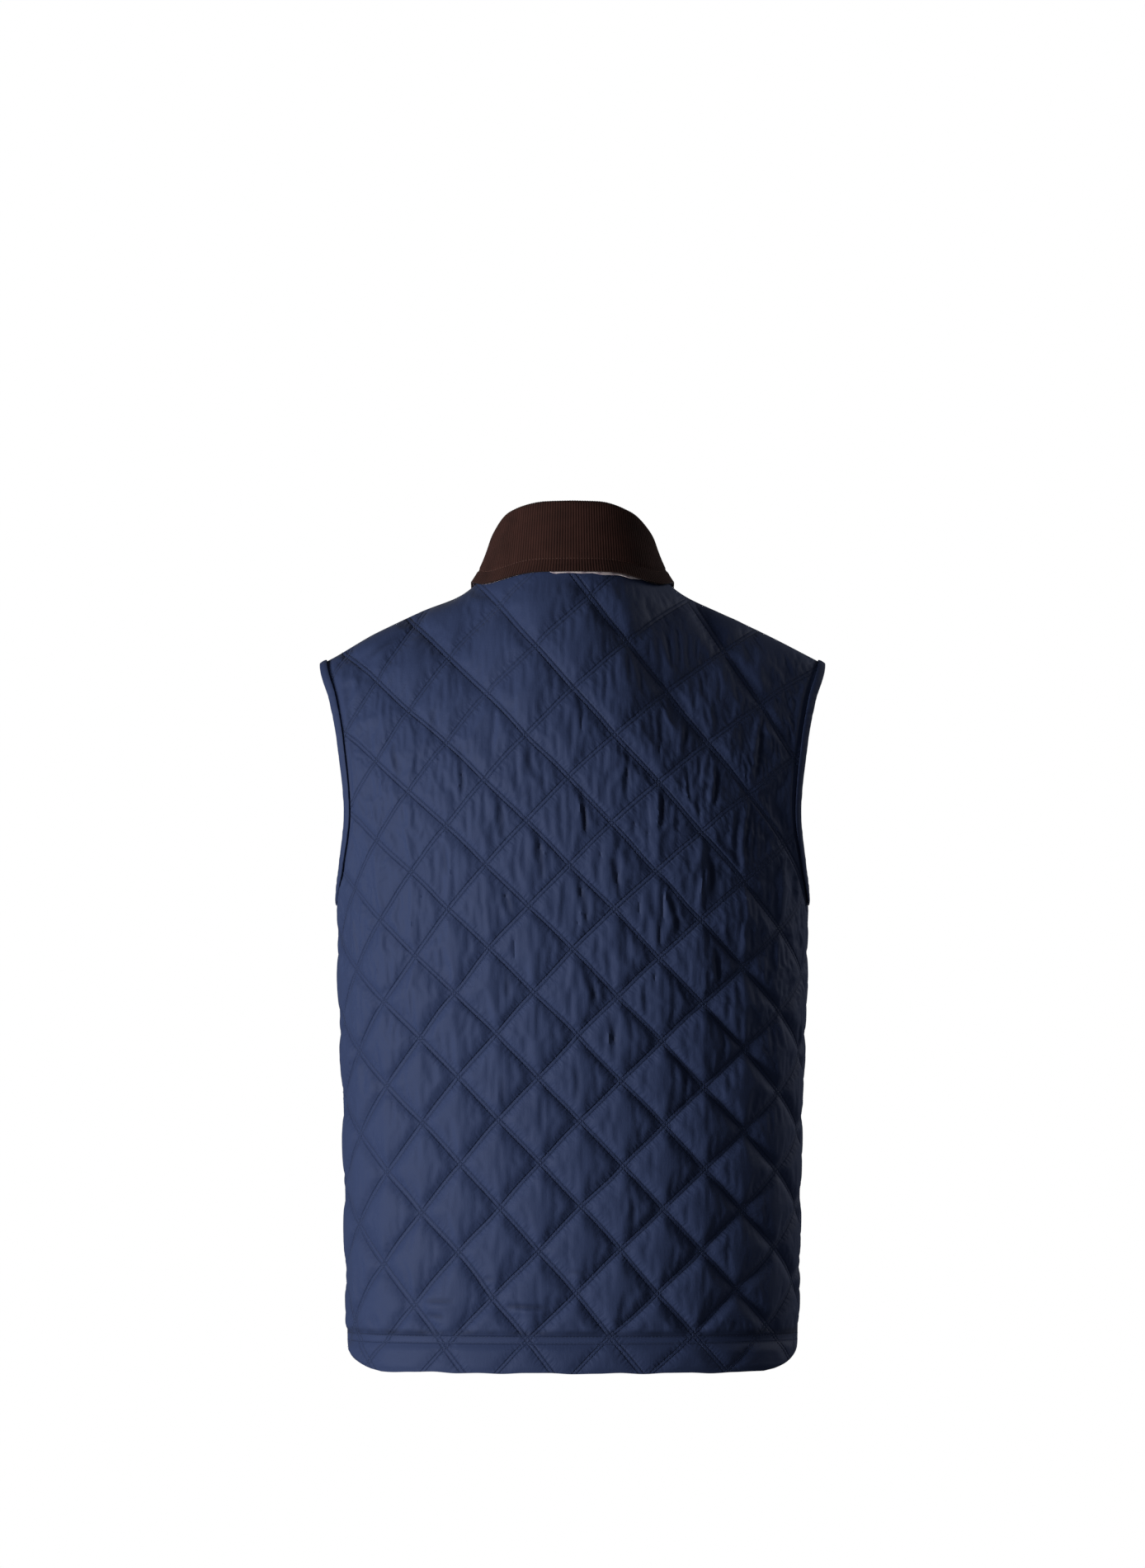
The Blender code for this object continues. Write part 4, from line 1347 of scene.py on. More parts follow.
def collar_measures(degrees):
    """Reach, clearances and fold height at each angle. One side leans up a little, which is done by
    reading the table at a smaller angle."""
    lean = LEAN["shift"] * np.exp(-((degrees - LEAN["angle"]) / LEAN["spread"]) ** 2)
    turned = np.maximum(np.abs(degrees) - lean, 0.0)
    columns = "fall_reach", "clearance", "edge_clearance", "fold_height"
    return [smooth_through(COLLAR, "angle", column, turned)[:, None] for column in columns]


print("collar given at", len(COLLAR), "angles up to", COLLAR_END, "degrees")


# %% The neck seen from above
def neck_plan(degrees):
    """Points on the neck's ellipse and its outward normals there, seen from above."""
    angle = np.radians(degrees)
    depth = np.where(np.cos(angle) > -TINY, NECK_DEPTH[1], NECK_DEPTH[-1])
    plan = np.stack((NECK_HALF * np.sin(angle), depth * np.cos(angle)), axis=1)
    normal = np.stack((np.sin(angle) / NECK_HALF, np.cos(angle) / depth), axis=1)
    return plan, normal / np.linalg.norm(normal, axis=1, keepdims=True)


def plan_height(plan):
    """Height of the vest's outer face over each point of a plan."""
    over_back = height_over(1, plan[..., 0], np.maximum(plan[..., 1], 0.0))
    over_front = height_over(-1, plan[..., 0], np.minimum(plan[..., 1], 0.0))
    return np.where(plan[..., 1] >= 0, over_back, over_front)


seam_heights = plan_height(neck_plan(COLLAR["angle"])[0])
print("height of the neck seam at those angles, mm:", (1000 * seam_heights).round().tolist())

# %% The fall at rest
FALL_ROWS = 12


def section_normals(out, height):
    """Unit normals in the plane of each section, towards the side that shows."""
    d_out, d_height = np.gradient(out, axis=1), np.gradient(height, axis=1)
    length = np.hypot(d_out, d_height)
    return -d_height / length, d_out / length


def resting_fall(plan, normal, reach, clearance, edge):
    """The part of a section that rests over the panels: their own line, moved off by the clearance. Also
    the height of the neck seam."""
    towards_edge = np.linspace(0, 1, FALL_ROWS + 1)
    out = reach * towards_edge
    clearance = clearance + (edge - clearance) * towards_edge
    height = plan_height(plan[:, None, :] + out[..., None] * normal[:, None, :])
    n_out, n_height = section_normals(out, height)
    return out + clearance * n_out, height + clearance * n_height, height[:, :1] + GAP


print("rows of points in the resting part:", FALL_ROWS + 1)

# %% Lines of the collar's section
ROLL_RADIUS = 0.0033
FOLD_INSET = 0.0075
STAND_INSET = 0.0022
SMOOTHING_ROUNDS = 4
STAND_ROWS, ROLL_ROWS, DROP_ROWS = 6, 10, 22


def collar_lines(degrees):
    """Plan points and normals on the neck's ellipse, and at each a line: up the stand, over the roll
    and down to rest over the panels. The line is then eased by averaging neighbours."""
    plan, normal = neck_plan(degrees)
    *measures, fold = collar_measures(degrees)
    rest_out, rest_height, seam = resting_fall(plan, normal, *measures)
    up = np.linspace(0, 1, STAND_ROWS + 1)[:-1]
    over = np.linspace(math.pi, 0, ROLL_ROWS + 1)
    drop = np.linspace(0, 1, DROP_ROWS + 1)[1:-1]
    centre = fold - ROLL_RADIUS
    inner, outer = -FOLD_INSET - ROLL_RADIUS, -FOLD_INSET + ROLL_RADIUS
    level = np.ones_like(seam)
    out = np.concatenate((level * (-STAND_INSET + (inner + STAND_INSET) * up),
                          level * (-FOLD_INSET + ROLL_RADIUS * np.cos(over)),
                          outer + (rest_out[:, :1] - outer) * drop, rest_out), axis=1)
    height = np.concatenate((seam + (centre - seam) * up, centre + ROLL_RADIUS * np.sin(over),
                             centre + (rest_height[:, :1] - centre) * drop, rest_height), axis=1)
    for _ in range(SMOOTHING_ROUNDS):
        out[:, 1:-1] = (out[:, :-2] + 2 * out[:, 1:-1] + out[:, 2:]) / 4
        height[:, 1:-1] = (height[:, :-2] + 2 * height[:, 1:-1] + height[:, 2:]) / 4
    return plan, normal, out, height


def collar_skin(lines, depth):
    """The lines moved in by a depth, as points."""
    plan, normal, out, height = lines
    n_out, n_height = section_normals(out, height)
    out, height = out - depth * n_out, height - depth * n_height
    across = plan[:, None, :] + out[..., None] * normal[:, None, :]
    return np.concatenate((across, height[..., None]), axis=2)


back_line = collar_skin(collar_lines(np.zeros(1)), 0.0)[0]
fold_and_edge = (1000 * np.array([back_line[:, 2].max(), back_line[-1, 2]])).round().tolist()
print("heights of fold and edge at the back, mm:", fold_and_edge)

# %% [markdown]
# ## Top collar
# The wales of fine corduroy are real ridges here, 2.4 mm apart, running up and over, because at the sides
# the collar is seen edge-on and a texture would show no bumps in the outline. They are spaced evenly
# along a line near the collar's edge. Stitching runs 12 mm inside the edge and dips into the pile.

# %% Wales spaced along the collar
WALE = 0.0024
POINTS_PER_WALE = 5
ROUGH_POINTS = 721
rough = np.linspace(-COLLAR_END, COLLAR_END, ROUGH_POINTS)
rough_line = collar_skin(collar_lines(rough), 0.0)[:, -FALL_ROWS]
rough_length = np.concatenate(([0.0], np.cumsum(np.linalg.norm(np.diff(rough_line, axis=0), axis=1))))
wales = round(rough_length[-1] / WALE)
wale_place = np.linspace(0, wales, wales * POINTS_PER_WALE + 1)
collar_degrees = np.interp(wale_place * rough_length[-1] / wales, rough_length, rough)
print(wales, "wales,", round(1000 * rough_length[-1] / wales, 2), "mm apart")

# %% Top collar with its wales
TOP_CLOTH = 0.0016
WALE_DEPTH = 0.00042
WALE_ROUNDNESS = 0.7
WALE_RUBBED = 0.25
RUB_SIZE = (9.0, 0.016)
TOPSTITCH = 0.012
TOPSTITCH_WIDTH = 0.0013
TOPSTITCH_DEPTH = 0.00080
lines = collar_lines(collar_degrees)
smooth_collar = collar_skin(lines, 0.0)
from_edge = np.linalg.norm(np.diff(smooth_collar, axis=1), axis=2)[:, ::-1].cumsum(axis=1)[:, ::-1]
from_edge = np.concatenate((from_edge, np.zeros((len(from_edge), 1))), axis=1)
ridge = np.abs(np.sin(math.pi * wale_place))[:, None] ** WALE_ROUNDNESS * np.ones_like(from_edge)
rub = 0.5 + 0.5 * value_noise(wale_place[:, None] / RUB_SIZE[0], from_edge / RUB_SIZE[1])
dip = np.exp(-((from_edge - TOPSTITCH) / TOPSTITCH_WIDTH) ** 2)
sunk = WALE_DEPTH * (1 - ridge) * (1 - WALE_RUBBED + WALE_RUBBED * rub) + TOPSTITCH_DEPTH * dip
collar_outside = collar_skin(lines, sunk)
collar_inside = collar_skin(lines, TOP_CLOTH)[::POINTS_PER_WALE]
print("wales and stitching are sunk by up to", round(1000 * float(sunk.max()), 2), "mm")

# %% Collar and its stitching as pieces
PROBE_DEPTH = 0.001
collar_uv = np.stack((wale_place[:, None] * WALE + 0 * from_edge, from_edge), axis=-1)
top_collar = shell("corduroy_collar", collar_outside, collar_inside, (POINTS_PER_WALE, 1), collar_uv,
                   {"ridge": ridge})
outwards = smooth_collar - collar_skin(lines, PROBE_DEPTH)
outwards /= np.linalg.norm(outwards, axis=2, keepdims=True)
run_order = wale_place[:, None] + 0 * from_edge
topstitch_run = crossing_run(from_edge, TOPSTITCH, run_order, collar_outside, outwards)
collar_thread = sew("collar_topstitch", [topstitch_run])
print("top collar:", len(top_collar.data.polygons), "faces")

# %% [markdown]
# ## Under collar
# Under the fall lies a paler, thinner cloth. Its cut is a little smaller than the top collar, so that it
# stays hidden, but at the back a narrow strip of it has worked its way out below the edge. It follows the
# same lines, one cloth further in, and only its last points are drawn on past the edge or kept short.

# %% Under collar with its peeking edge
UNDER_CLOTH = 0.0010
PEEK = 0.0018
PEEK_SHORT = -0.0020
PEEK_POINTS = 353
PEEK_STARTS = (-50, -40)
PEEK_ENDS = (8, 18)
PEEK_UNEVEN = 6.0
PEEK_MEAN = 0.85
PEEK_SWING = 0.25
CLOTH_PER_DEGREE = 0.0013
FALL_HEIGHT = 0.06
peek_degrees = np.linspace(-COLLAR_END, COLLAR_END, PEEK_POINTS)
peek_shown = eased(peek_degrees, *PEEK_STARTS) * (1 - eased(peek_degrees, *PEEK_ENDS))
unevenness = value_noise(peek_degrees / PEEK_UNEVEN, np.zeros(PEEK_POINTS))
peek_shown = peek_shown * (PEEK_MEAN + PEEK_SWING * unevenness)
peek = PEEK_SHORT + (PEEK - PEEK_SHORT) * peek_shown
under_lines = collar_lines(peek_degrees)


def under_skin(depth):
    """The fall's own lines, moved in, with the last points drawn on past the edge."""
    points = collar_skin(under_lines, depth)[:, STAND_ROWS + ROLL_ROWS:]
    run = points[:, -1] - points[:, -2]
    points[:, -1] += peek[:, None] * run / np.linalg.norm(run, axis=1, keepdims=True)
    return points


under_outside = under_skin(TOP_CLOTH + GAP)
under_rows = under_outside.shape[1]
under_across = peek_degrees[:, None] * CLOTH_PER_DEGREE + np.zeros(under_rows)
under_up = np.linspace(FALL_HEIGHT, 0, under_rows) + np.zeros((PEEK_POINTS, 1))
under_uv = np.stack((under_across, under_up), axis=-1)
under_inside = under_skin(TOP_CLOTH + GAP + UNDER_CLOTH)
under_collar = shell("pale_under_collar", under_outside, under_inside, uv=under_uv)
print("under collar:", len(under_collar.data.polygons), "faces")

# %% [markdown]
# ## Press studs
# The picture does not show the front. Such vests close with press studs on the lap, so five plain
# capped studs stand there, closed. Each cap is a turned profile: a flat rim, a small step and a dome. A
# Screw modifier turns a profile as well, but here the axis has to lean with the cloth.

# %% Turned caps
SNAP_HEIGHTS = (-0.150, -0.262, -0.374, -0.486, -0.598)
CAP = table(
    "radius height",
    (0.0000, 0.0000), (0.0069, 0.0000), (0.0074, 0.0004), (0.0075, 0.0008), (0.0073, 0.0013),
    (0.0068, 0.0016), (0.0064, 0.0015), (0.0061, 0.0016), (0.0052, 0.0020), (0.0038, 0.0023),
    (0.0020, 0.0025), (0.0000, 0.0026),
)
CAP_SIDES = 48
CAP_SHARP = 40.0
SLOPE_STEP = 0.01


def snap_cap(name, height):
    """The profile turned round the cloth's normal at the lapped front's centre line."""
    depth, lower = surface_depth(-1, np.zeros(2), np.array([height, height - SLOPE_STEP]))
    out = np.array([0.0, -1.0, (depth - lower) / SLOPE_STEP])
    out /= np.linalg.norm(out)
    right = np.array([1.0, 0.0, 0.0])
    angle = np.linspace(0, 2 * math.pi, CAP_SIDES, endpoint=False)
    circle = np.outer(np.cos(angle), right) + np.outer(np.sin(angle), np.cross(right, out))
    seat = np.array([0.0, depth, height]) + (LAP_LIFT + GAP) * out
    rings = CAP["radius"][1:-1, None, None] * circle + CAP["height"][1:-1, None, None] * out
    count = rings.shape[0] * CAP_SIDES
    poles = CAP["height"][[0, -1], None] * out
    points = seat + np.concatenate((rings.reshape(-1, 3), poles))
    around = np.arange(CAP_SIDES)
    following = np.roll(around, -1)
    last = count - CAP_SIDES
    bottom = np.stack((following, around, np.full(CAP_SIDES, count)), axis=1)
    top = np.stack((last + around, last + following, np.full(CAP_SIDES, count + 1)), axis=1)
    quads = grid_quads(rings.shape[0], CAP_SIDES, 0, False, True)[:, ::-1]
    return new_piece(name, points, [quads, bottom, top], sharp=CAP_SHARP)


snaps = [snap_cap(f"press_stud_cap_{i}", height) for i, height in enumerate(SNAP_HEIGHTS, 1)]
print(len(snaps), "press studs")

# %% [markdown]
# ## Where the stitches dip
# Down in the lines the twin rows of stitches are narrow dips with a low ridge between them, finer than
# the mesh can hold, so they are relief in the finish, placed by the same pattern numbers that shaped the
# puffs. Short wrinkles stand square to the lines. Painted textures would need a picture for each panel.

# %% Distance from a line, in the finish
PATTERN_SHIFT = 100


def smooth_step(finish, value, ends, results):
    """A value mapped from two ends to two results, eased between them."""
    sockets = {"Value": value, "From Min": ends[0], "From Max": ends[1],
               "To Min": results[0], "To Max": results[1]}
    return finish.field("ShaderNodeMapRange", {"interpolation_type": "SMOOTHSTEP"}, sockets)


def row_dips(finish, away, offset, width):
    """1 on a row at an offset from a line, falling to 0 within a width on either side."""
    beside = away.math("ABSOLUTE", away - offset)
    return smooth_step(finish, beside, (0.0, width), (1.0, 0.0))


def from_line(finish, name):
    """Distance in metres from the nearest whole number of a pattern attribute. The whole number that
    is added first keeps the place positive."""
    place = finish.attribute(name)
    fraction = place.math("FRACT", place + (PATTERN_SHIFT + 0.5)) - 0.5
    return fraction.math("ABSOLUTE", fraction) * SQUARE


print("a square of the finish is", 1000 * SQUARE, "mm wide, as in the mesh")

# %% Rows and wrinkles in the finish
ROW_WIDTH = 0.0011
EDGE_ROW_WIDTH = 0.0013
WRINKLES_BESIDE = 0.0030
WRINKLES_WIDTH = 0.0060
WRINKLES_ACROSS = 3.0
WRINKLES_ALONG = 15.0


def stitch_puckers(finish, across, along):
    """Short wrinkles square to a family of lines: noise that changes quickly along a line, in the
    strip beside it."""
    place = finish.node("ShaderNodeCombineXYZ", None, {0: finish.attribute(across) * WRINKLES_ACROSS,
                                                       1: finish.attribute(along) * WRINKLES_ALONG})
    sockets = {"Vector": place.outputs[0], "Scale": 1.0, "Detail": 1.0}
    wrinkle = finish.field("ShaderNodeTexNoise", None, sockets)
    return (wrinkle - 0.5) * row_dips(finish, from_line(finish, across), WRINKLES_BESIDE, WRINKLES_WIDTH)


def sewn_rows(finish, up):
    """Dips of the twin rows along both families of lines and along the hem and of the single row on
    the front edge, and the hem's signed distance."""
    hem_away = up - HEM_STITCH_HEIGHT
    dips = [row_dips(finish, from_line(finish, key), ROW_OFFSET, ROW_WIDTH) for key in LINE_KEYS]
    dips.append(row_dips(finish, hem_away.math("ABSOLUTE", hem_away), HEM_ROW_OFFSET, EDGE_ROW_WIDTH))
    dips.append(row_dips(finish, finish.attribute("front_edge"), FRONT_STITCH, EDGE_ROW_WIDTH))
    return sum(dips).limited(), hem_away


print("families of lines with twin rows in the finish:", len(LINE_KEYS))

# %% [markdown]
# ## Navy microfibre
# The outer cloth is a fine plain weave with a soft sheen. Quilted, it has painted shade in the stitch rows,
# in creases, above the hem and along the front edge, and is a little paler on top of the puffs, where it
# rubs. The bindings are the same cloth without quilting, turned by an eighth of a turn, because they are
# cut on the bias.

# %% Shades of the quilting
NAVY = (0.019, 0.030, 0.077, 1.0)
# colour of the painted shade in stitch rows, creases, above the hem and at the front edge
NAVY_PAINTED_SHADE = (0.007, 0.012, 0.033, 1.0)
NAVY_WORN = (0.028, 0.042, 0.098, 1.0)
WORN_BY_PUFF = 0.25
PUFF_WORN_FROM = 0.18
UNEVEN_SCALE = 60.0
# painted shade down in the stitch rows: a least share, plus a share added by noise
ROW_SHADE = (0.06, 0.36)
# painted shadow that the puffs would cast just above the hem's upper row of stitches
HEM_SHADE = 0.8
HEM_SHADE_PLACE = 0.0056
HEM_SHADE_WIDTH = 0.0044
HEM_SHADE_PATCHES = (1.8, 0.3)
# painted shade in the creases
TROUGH_SHADE = 0.6
# painted shade along the front edge
EDGE_SHADE = 0.7
EDGE_SHADE_WIDTH = 0.0018
WRINKLE_DEPTH = 0.0009
ROW_DEPTH = 0.00045


def quilted_look(finish, worn, up):
    """Colour with painted shade in the stitch rows, in creases, above the hem and on the front edge, and
    relief of wrinkles and rows, in metres."""
    sewn, hem_away = sewn_rows(finish, up)
    uneven = finish.noise(UNEVEN_SCALE, detail=2.0)
    # the painted shadow above the hem, in uneven patches
    patches = (uneven * HEM_SHADE_PATCHES[0] - HEM_SHADE_PATCHES[1]).limited()
    painted_shadow_under_puffs = row_dips(finish, hem_away, HEM_SHADE_PLACE, HEM_SHADE_WIDTH) * patches
    # painted shade along the outermost millimetres of the front edge
    painted_edge_shade = row_dips(finish, finish.attribute("front_edge"), 0.0, EDGE_SHADE_WIDTH)
    # painted shade: stitch rows, the puffs' shadow above the hem, creases and the front edge are darkened
    painted_shade = sewn * (ROW_SHADE[0] + ROW_SHADE[1] * uneven) + painted_shadow_under_puffs * HEM_SHADE
    painted_shade = painted_shade + finish.attribute("trough") * TROUGH_SHADE + painted_edge_shade * EDGE_SHADE
    rubbed = worn + finish.attribute("puff") * WORN_BY_PUFF - PUFF_WORN_FROM
    tint = finish.blend(painted_shade.limited(), finish.blend(rubbed, NAVY, NAVY_WORN), NAVY_PAINTED_SHADE)
    wrinkles = stitch_puckers(finish, *LINE_KEYS) + stitch_puckers(finish, *LINE_KEYS[::-1])
    return tint, wrinkles * WRINKLE_DEPTH - sewn * ROW_DEPTH


print("rows of stitches are", 1000 * ROW_DEPTH, "mm deep in the finish")

# %% Navy cloth
YARN = 0.0009
WEAVE_DEPTH = 0.00006
DRIFT_SCALE = 11.0
FIBRE_SCALE = 900.0
FIBRE_STRETCH = (1.0, 0.3, 1.0)
FIBRE_DEPTH = 0.00012
WORN_BY_DRIFT = 0.6
WORN_BY_FIBRE = 0.5
WORN_FROM = 0.15
SMOOTHEST = 0.56
ROUGH_BY_DRIFT = 0.18
ROUGH_BY_FIBRE = 0.06


def navy_cloth(name, quilted):
    """Colour drifts between two navies, and the weave is two crossed waves with irregular fibres over
    them. Without quilting it is turned by an eighth of a turn."""
    finish = Finish(name, Sheen_Weight=0.04, Sheen_Roughness=0.4, Specular_IOR_Level=0.14)
    drift = finish.noise(DRIFT_SCALE, detail=3.0)
    fibre = finish.noise(FIBRE_SCALE, detail=2.0, stretch=FIBRE_STRETCH)
    worn = drift * WORN_BY_DRIFT + fibre * WORN_BY_FIBRE - WORN_FROM
    across, up, _ = finish.axes()
    if quilted:
        tint, sewing = quilted_look(finish, worn, up)
    else:
        across, up = across + up, across - up
        tint, sewing = finish.blend(worn, NAVY, NAVY_WORN), 0.0
    weave = across.wave(YARN) * up.wave(YARN)
    finish.feed("Base Color", tint)
    finish.feed("Roughness", SMOOTHEST + ROUGH_BY_DRIFT * drift + ROUGH_BY_FIBRE * fibre)
    finish.relief(weave * WEAVE_DEPTH + fibre * FIBRE_DEPTH + sewing, 1.0)
    return finish.material


def dress(material, *pieces):
    """Give one finish to several pieces."""
    for piece in pieces:
        piece.data.materials.append(material)


dress(navy_cloth("navy_quilted_cloth", True), back, front_left, front_right)
dress(navy_cloth("navy_binding_cloth", False), binding_left, binding_right)
print("navy cloth made")

# %% [markdown]
# ## Thread
# Thread is a twisted yarn, so it is never one even colour. At this size a stitch is only a few pixels
# long, and noise between a dark and a light tone is all that can be seen of the twist. The collar is sewn
# with brown thread, everything else with navy.

# %% Navy and brown thread
NAVY_THREAD = (0.026, 0.038, 0.085, 1.0), (0.055, 0.075, 0.150, 1.0)
BROWN_THREAD = (0.060, 0.030, 0.025, 1.0), (0.13, 0.072, 0.060, 1.0)
TWIST_SCALE = 1500.0


def twisted_thread(name, tones):
    """Fine noise between a dark and a light tone, matte."""
    finish = Finish(name, Roughness=0.8, Specular_IOR_Level=0.1)
    twist = finish.noise(TWIST_SCALE, detail=1.0, kind="Object")
    finish.feed("Base Color", finish.blend(twist, *tones))
    return finish.material


dress(twisted_thread("navy_thread", NAVY_THREAD), *threads)
dress(twisted_thread("brown_thread", BROWN_THREAD), collar_thread)
print("thread on", len(threads) + 1, "pieces")

# %% [markdown]
# ## Corduroy
# The pile of corduroy is darkest down between the wales, where little light gets in, and it looks cloudy
# where it has been brushed one way or the other. The ridges are in the mesh, and each point has stored how
# high it lies on one, so the finish can shade them. The pile itself is only noise.

# %% Brown corduroy
CORDUROY = (0.008, 0.0036, 0.003, 1.0), (0.046, 0.018, 0.014, 1.0)
PILE_SCALE = 1400.0
PILE_DEPTH = 0.00035
PILE_ROUGHNESS = (0.80, 0.15)
CLOUD_SCALE = 55.0
LIGHT_BY_RIDGE = 0.65
LIGHT_BY_PILE = 0.45
LIGHT_BY_CLOUD = 0.75
LIGHT_FROM = 0.5
corduroy = Finish("brown_corduroy", Sheen_Weight=0.06, Sheen_Roughness=0.4, Specular_IOR_Level=0.1)
pile = corduroy.noise(PILE_SCALE, detail=3.0)
cloud = corduroy.noise(CLOUD_SCALE, detail=4.0)
lightness = corduroy.attribute("ridge") * LIGHT_BY_RIDGE + pile * LIGHT_BY_PILE
lightness = lightness + cloud * LIGHT_BY_CLOUD - LIGHT_FROM
corduroy.feed("Base Color", corduroy.blend(lightness, *CORDUROY))
corduroy.feed("Roughness", PILE_ROUGHNESS[0] + PILE_ROUGHNESS[1] * pile)
corduroy.relief(pile, PILE_DEPTH)
dress(corduroy.material, top_collar)
print("corduroy nodes:", len(corduroy.tree.nodes))

# %% [markdown]
# ## Pale cloth of the under collar
# Only a thin edge of it shows, pale with darker patches, as a striped cloth looks when it is seen end-on.
# So it has stripes 12 mm apart along the collar, a few specks and a plain weave.

# %% Pale striped cloth
PALE = (0.62, 0.53, 0.53, 1.0), (0.20, 0.14, 0.18, 1.0)
STRIPE = 0.012
STRIPE_POWER = 3.0
STRIPE_SHARE = 0.6
SPECK_SCALE = 500.0
SPECK_SHARE = 0.25
PALE_YARN = 0.0008
PALE_WEAVE_DEPTH = 0.0001
pale = Finish("pale_striped_cloth", Roughness=0.8, Sheen_Weight=0.1)
pale_across, pale_up, _ = pale.axes()
stripe = pale_across.wave(STRIPE) ** STRIPE_POWER
speck = pale.noise(SPECK_SCALE, detail=2.0)
pale.feed("Base Color", pale.blend(stripe * STRIPE_SHARE + speck * SPECK_SHARE, *PALE))
pale.relief(pale_across.wave(PALE_YARN) * pale_up.wave(PALE_YARN), PALE_WEAVE_DEPTH)
dress(pale.material, under_collar)
print("pale cloth nodes:", len(pale.tree.nodes))

# %% [markdown]
# ## Gunmetal
# Press studs of this kind are steel with a dark, satin coating, rubbed paler in places. It is a metal all
# over, so only its tone, its roughness and a very fine relief vary.

# %% Dark metal
GUNMETAL = (0.045, 0.045, 0.052, 1.0), (0.11, 0.11, 0.12, 1.0)
METAL_ROUGHNESS = (0.28, 0.25)
WEAR_SCALE = 260.0
GRAIN_SCALE = 1800.0
GRAIN_DEPTH = 0.00003
metal = Finish("gunmetal", Metallic=1.0, Coat_Weight=0.15)
wear = metal.noise(WEAR_SCALE, detail=4.0, kind="Object")
metal.feed("Base Color", metal.blend(wear, *GUNMETAL))
metal.feed("Roughness", METAL_ROUGHNESS[0] + METAL_ROUGHNESS[1] * wear)
metal.relief(metal.noise(GRAIN_SCALE, detail=2.0, kind="Object"), GRAIN_DEPTH)
dress(metal.material, *snaps)
print("gunmetal nodes:", len(metal.tree.nodes))

# %% [markdown]
# ## Camera
# The picture looks straight at the back, from far away, so upright lines stay upright. The camera stands
# level with the middle of the picture, and the lens is worked out from the size of a pixel, so that the
# vest comes out as large as in the picture.

# %% Camera
FRAME_PIXELS = (1388, 1900)
CAMERA_DISTANCE = 14.0
SENSOR_WIDTH = 36.0
VIEW_HEIGHT = (PHOTO_CENTRE[1] - FRAME_PIXELS[1] / 2) * PHOTO_SCALE
camera_data = bpy.data.cameras.new("photo_camera")
camera_data.sensor_width = SENSOR_WIDTH
camera_data.lens = SENSOR_WIDTH * CAMERA_DISTANCE / (FRAME_PIXELS[1] * PHOTO_SCALE)
camera = bpy.data.objects.new("photo_camera", camera_data)
camera.location = (0.0, CAMERA_DISTANCE, VIEW_HEIGHT)
camera.rotation_euler = (math.pi / 2, 0.0, math.pi)
bpy.context.scene.collection.objects.link(camera)
bpy.context.scene.camera = camera
print("lens in mm:", round(camera_data.lens, 1))

# %% [markdown]
# ## Floor
# The vest hangs in white. A floor lies well below it and glows more and more with distance, so that its
# edge is lost in the surroundings. It does not light the cloth from below, because it is hidden from
# reflected light.

# %% A floor that fades out
FLOOR_HEIGHT = -1.10
FLOOR_HALF = 40.0
FLOOR_COLOUR = (0.86, 0.86, 0.86, 1.0)
FADE_ENDS = (0.5, 2.2)
FADE_RESULTS = (0.55, 1.0)
WHITE = (1.0, 1.0, 1.0, 1.0)
FLOOR_CORNERS = np.array([(-1, -1), (1, -1), (1, 1), (-1, 1)])
floor_points = np.append(FLOOR_HALF * FLOOR_CORNERS, np.full((4, 1), FLOOR_HEIGHT), axis=1)
floor = new_piece("floor", floor_points, [np.array([[0, 1, 2, 3]])])
floor_finish = Finish("pale_floor", Base_Color=FLOOR_COLOUR, Roughness=0.9)
on_floor = floor_finish.coordinates("Object", (1.0, 1.0, 0.0))
length_node = floor_finish.node("ShaderNodeVectorMath", {"operation": "LENGTH"}, {0: on_floor})
far_off = length_node.outputs["Value"]
fade_out = smooth_step(floor_finish, far_off, FADE_ENDS, FADE_RESULTS)
glow = floor_finish.node("ShaderNodeEmission", None, {"Color": WHITE, "Strength": 1.0})
mixed = {0: fade_out, 1: floor_finish.shader.outputs[0], 2: glow.outputs[0]}
floor_finish.show(floor_finish.node("ShaderNodeMixShader", None, mixed), "Material Output")
floor.data.materials.append(floor_finish.material)
floor.visible_diffuse = False
floor.visible_glossy = False
print("floor at", 1000 * FLOOR_HEIGHT, "mm")

# %% [markdown]
# ## Surroundings and lamps
# The room is white to the camera but dim to the cloth, which a Light Path node tells apart. A large soft
# lamp at the left lights the back, so its right side falls into shade. A second one stands in front, where
# the picture does not look, and a weak one on the right keeps the dark side readable.

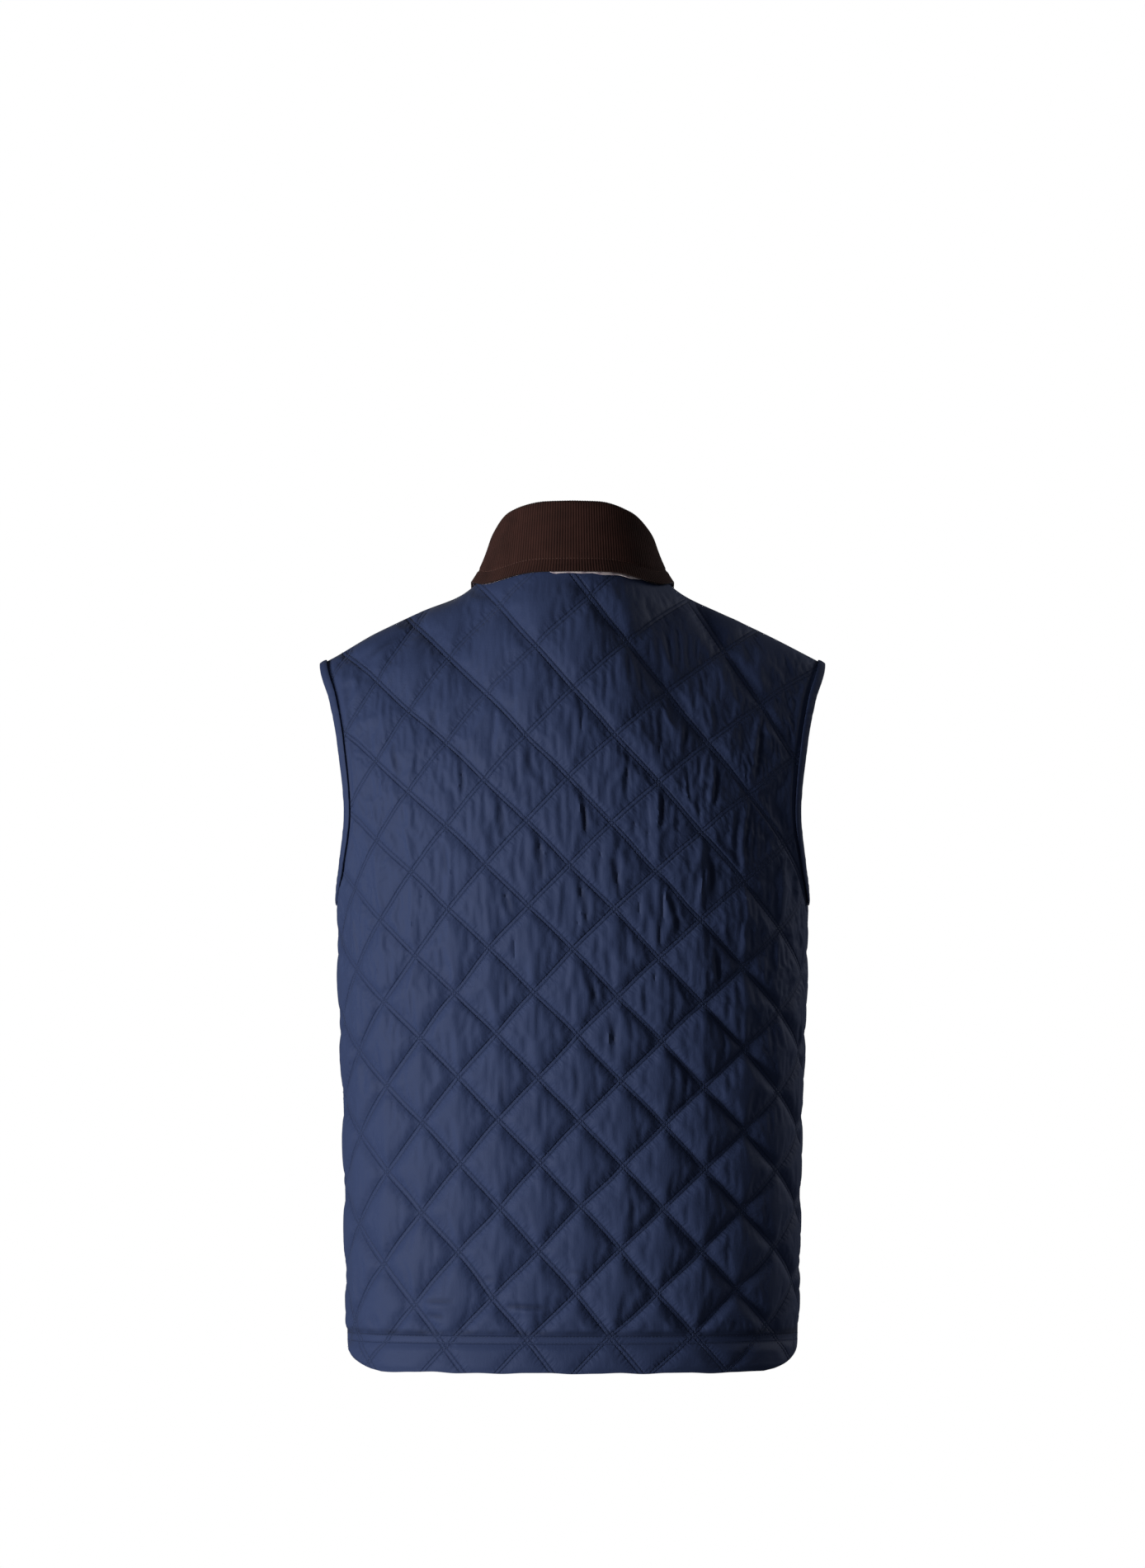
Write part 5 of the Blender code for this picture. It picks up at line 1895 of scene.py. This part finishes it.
# %% White room
ROOM_TINT = (0.92, 0.95, 1.0, 1.0)
ROOM_STRENGTH = 0.11
world = bpy.data.worlds.new("white_room")
world.use_nodes = True
bpy.context.scene.world = world
room = Graph(world.node_tree)
dim = room.node("ShaderNodeBackground", None, {"Color": ROOM_TINT, "Strength": ROOM_STRENGTH})
white = room.node("ShaderNodeBackground", None, {"Color": WHITE, "Strength": 1.0})
seen = room.node("ShaderNodeLightPath").outputs["Is Camera Ray"]
mixed = {0: seen, 1: dim.outputs[0], 2: white.outputs[0]}
room.show(room.node("ShaderNodeMixShader", None, mixed), "World Output")
bpy.context.scene.view_settings.view_transform = "Standard"
print("room nodes:", len(world.node_tree.nodes))

# %% Soft lamps
LAMP_TARGET = (0.0, 0.0, -0.32)
LAMPS = {
    "left_window": {"place": (2.4, 1.75, -0.45), "size": 1.2, "power": 117.0},
    "front_window": {"place": (0.0, -3.3, -0.25), "size": 1.2, "power": 62.0},
    "right_window": {"place": (-2.5, -1.3, 0.9), "size": 1.4, "power": 22.0},
}


def soft_lamp(name, place, size, power):
    """A square area light that faces the middle of the vest."""
    data = bpy.data.lights.new(name, "AREA")
    data.size = size
    data.energy = power
    lamp = bpy.data.objects.new(name, data)
    lamp.location = place
    lamp.rotation_euler = (Vector(LAMP_TARGET) - Vector(place)).to_track_quat("-Z", "Y").to_euler()
    bpy.context.scene.collection.objects.link(lamp)


for name, lamp_values in LAMPS.items():
    soft_lamp(name, **lamp_values)
print(len(LAMPS), "soft lamps")

# %% [markdown]


# %% [markdown]
# ## Pieces on the part's body
# Each piece rides the part's one body, and the CAD node that it replaces is hidden.
# Thread has no node in the CAD model, so it only rides along. Cloth has no joints, so nothing else moves.

# %% Hide the CAD nodes and attach the pieces
STANDS_FOR = [
    (back, "back", "quilt"),
    (front_left, "front_left", "quilt"),
    (front_right, "front_right", "quilt"),
    (binding_left, "armhole_binding_left", "binding"),
    (binding_right, "armhole_binding_right", "binding"),
    (top_collar, "top_collar", "corduroy"),
    (under_collar, "under_collar", "under_collar"),
    *((snap, f"snap_{i}", "snap") for i, snap in enumerate(snaps, 1)),
]
for piece, node, slot in STANDS_FOR:
    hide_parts(node)
    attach(piece, "root")
for piece in (*threads, collar_thread):
    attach(piece, "root")
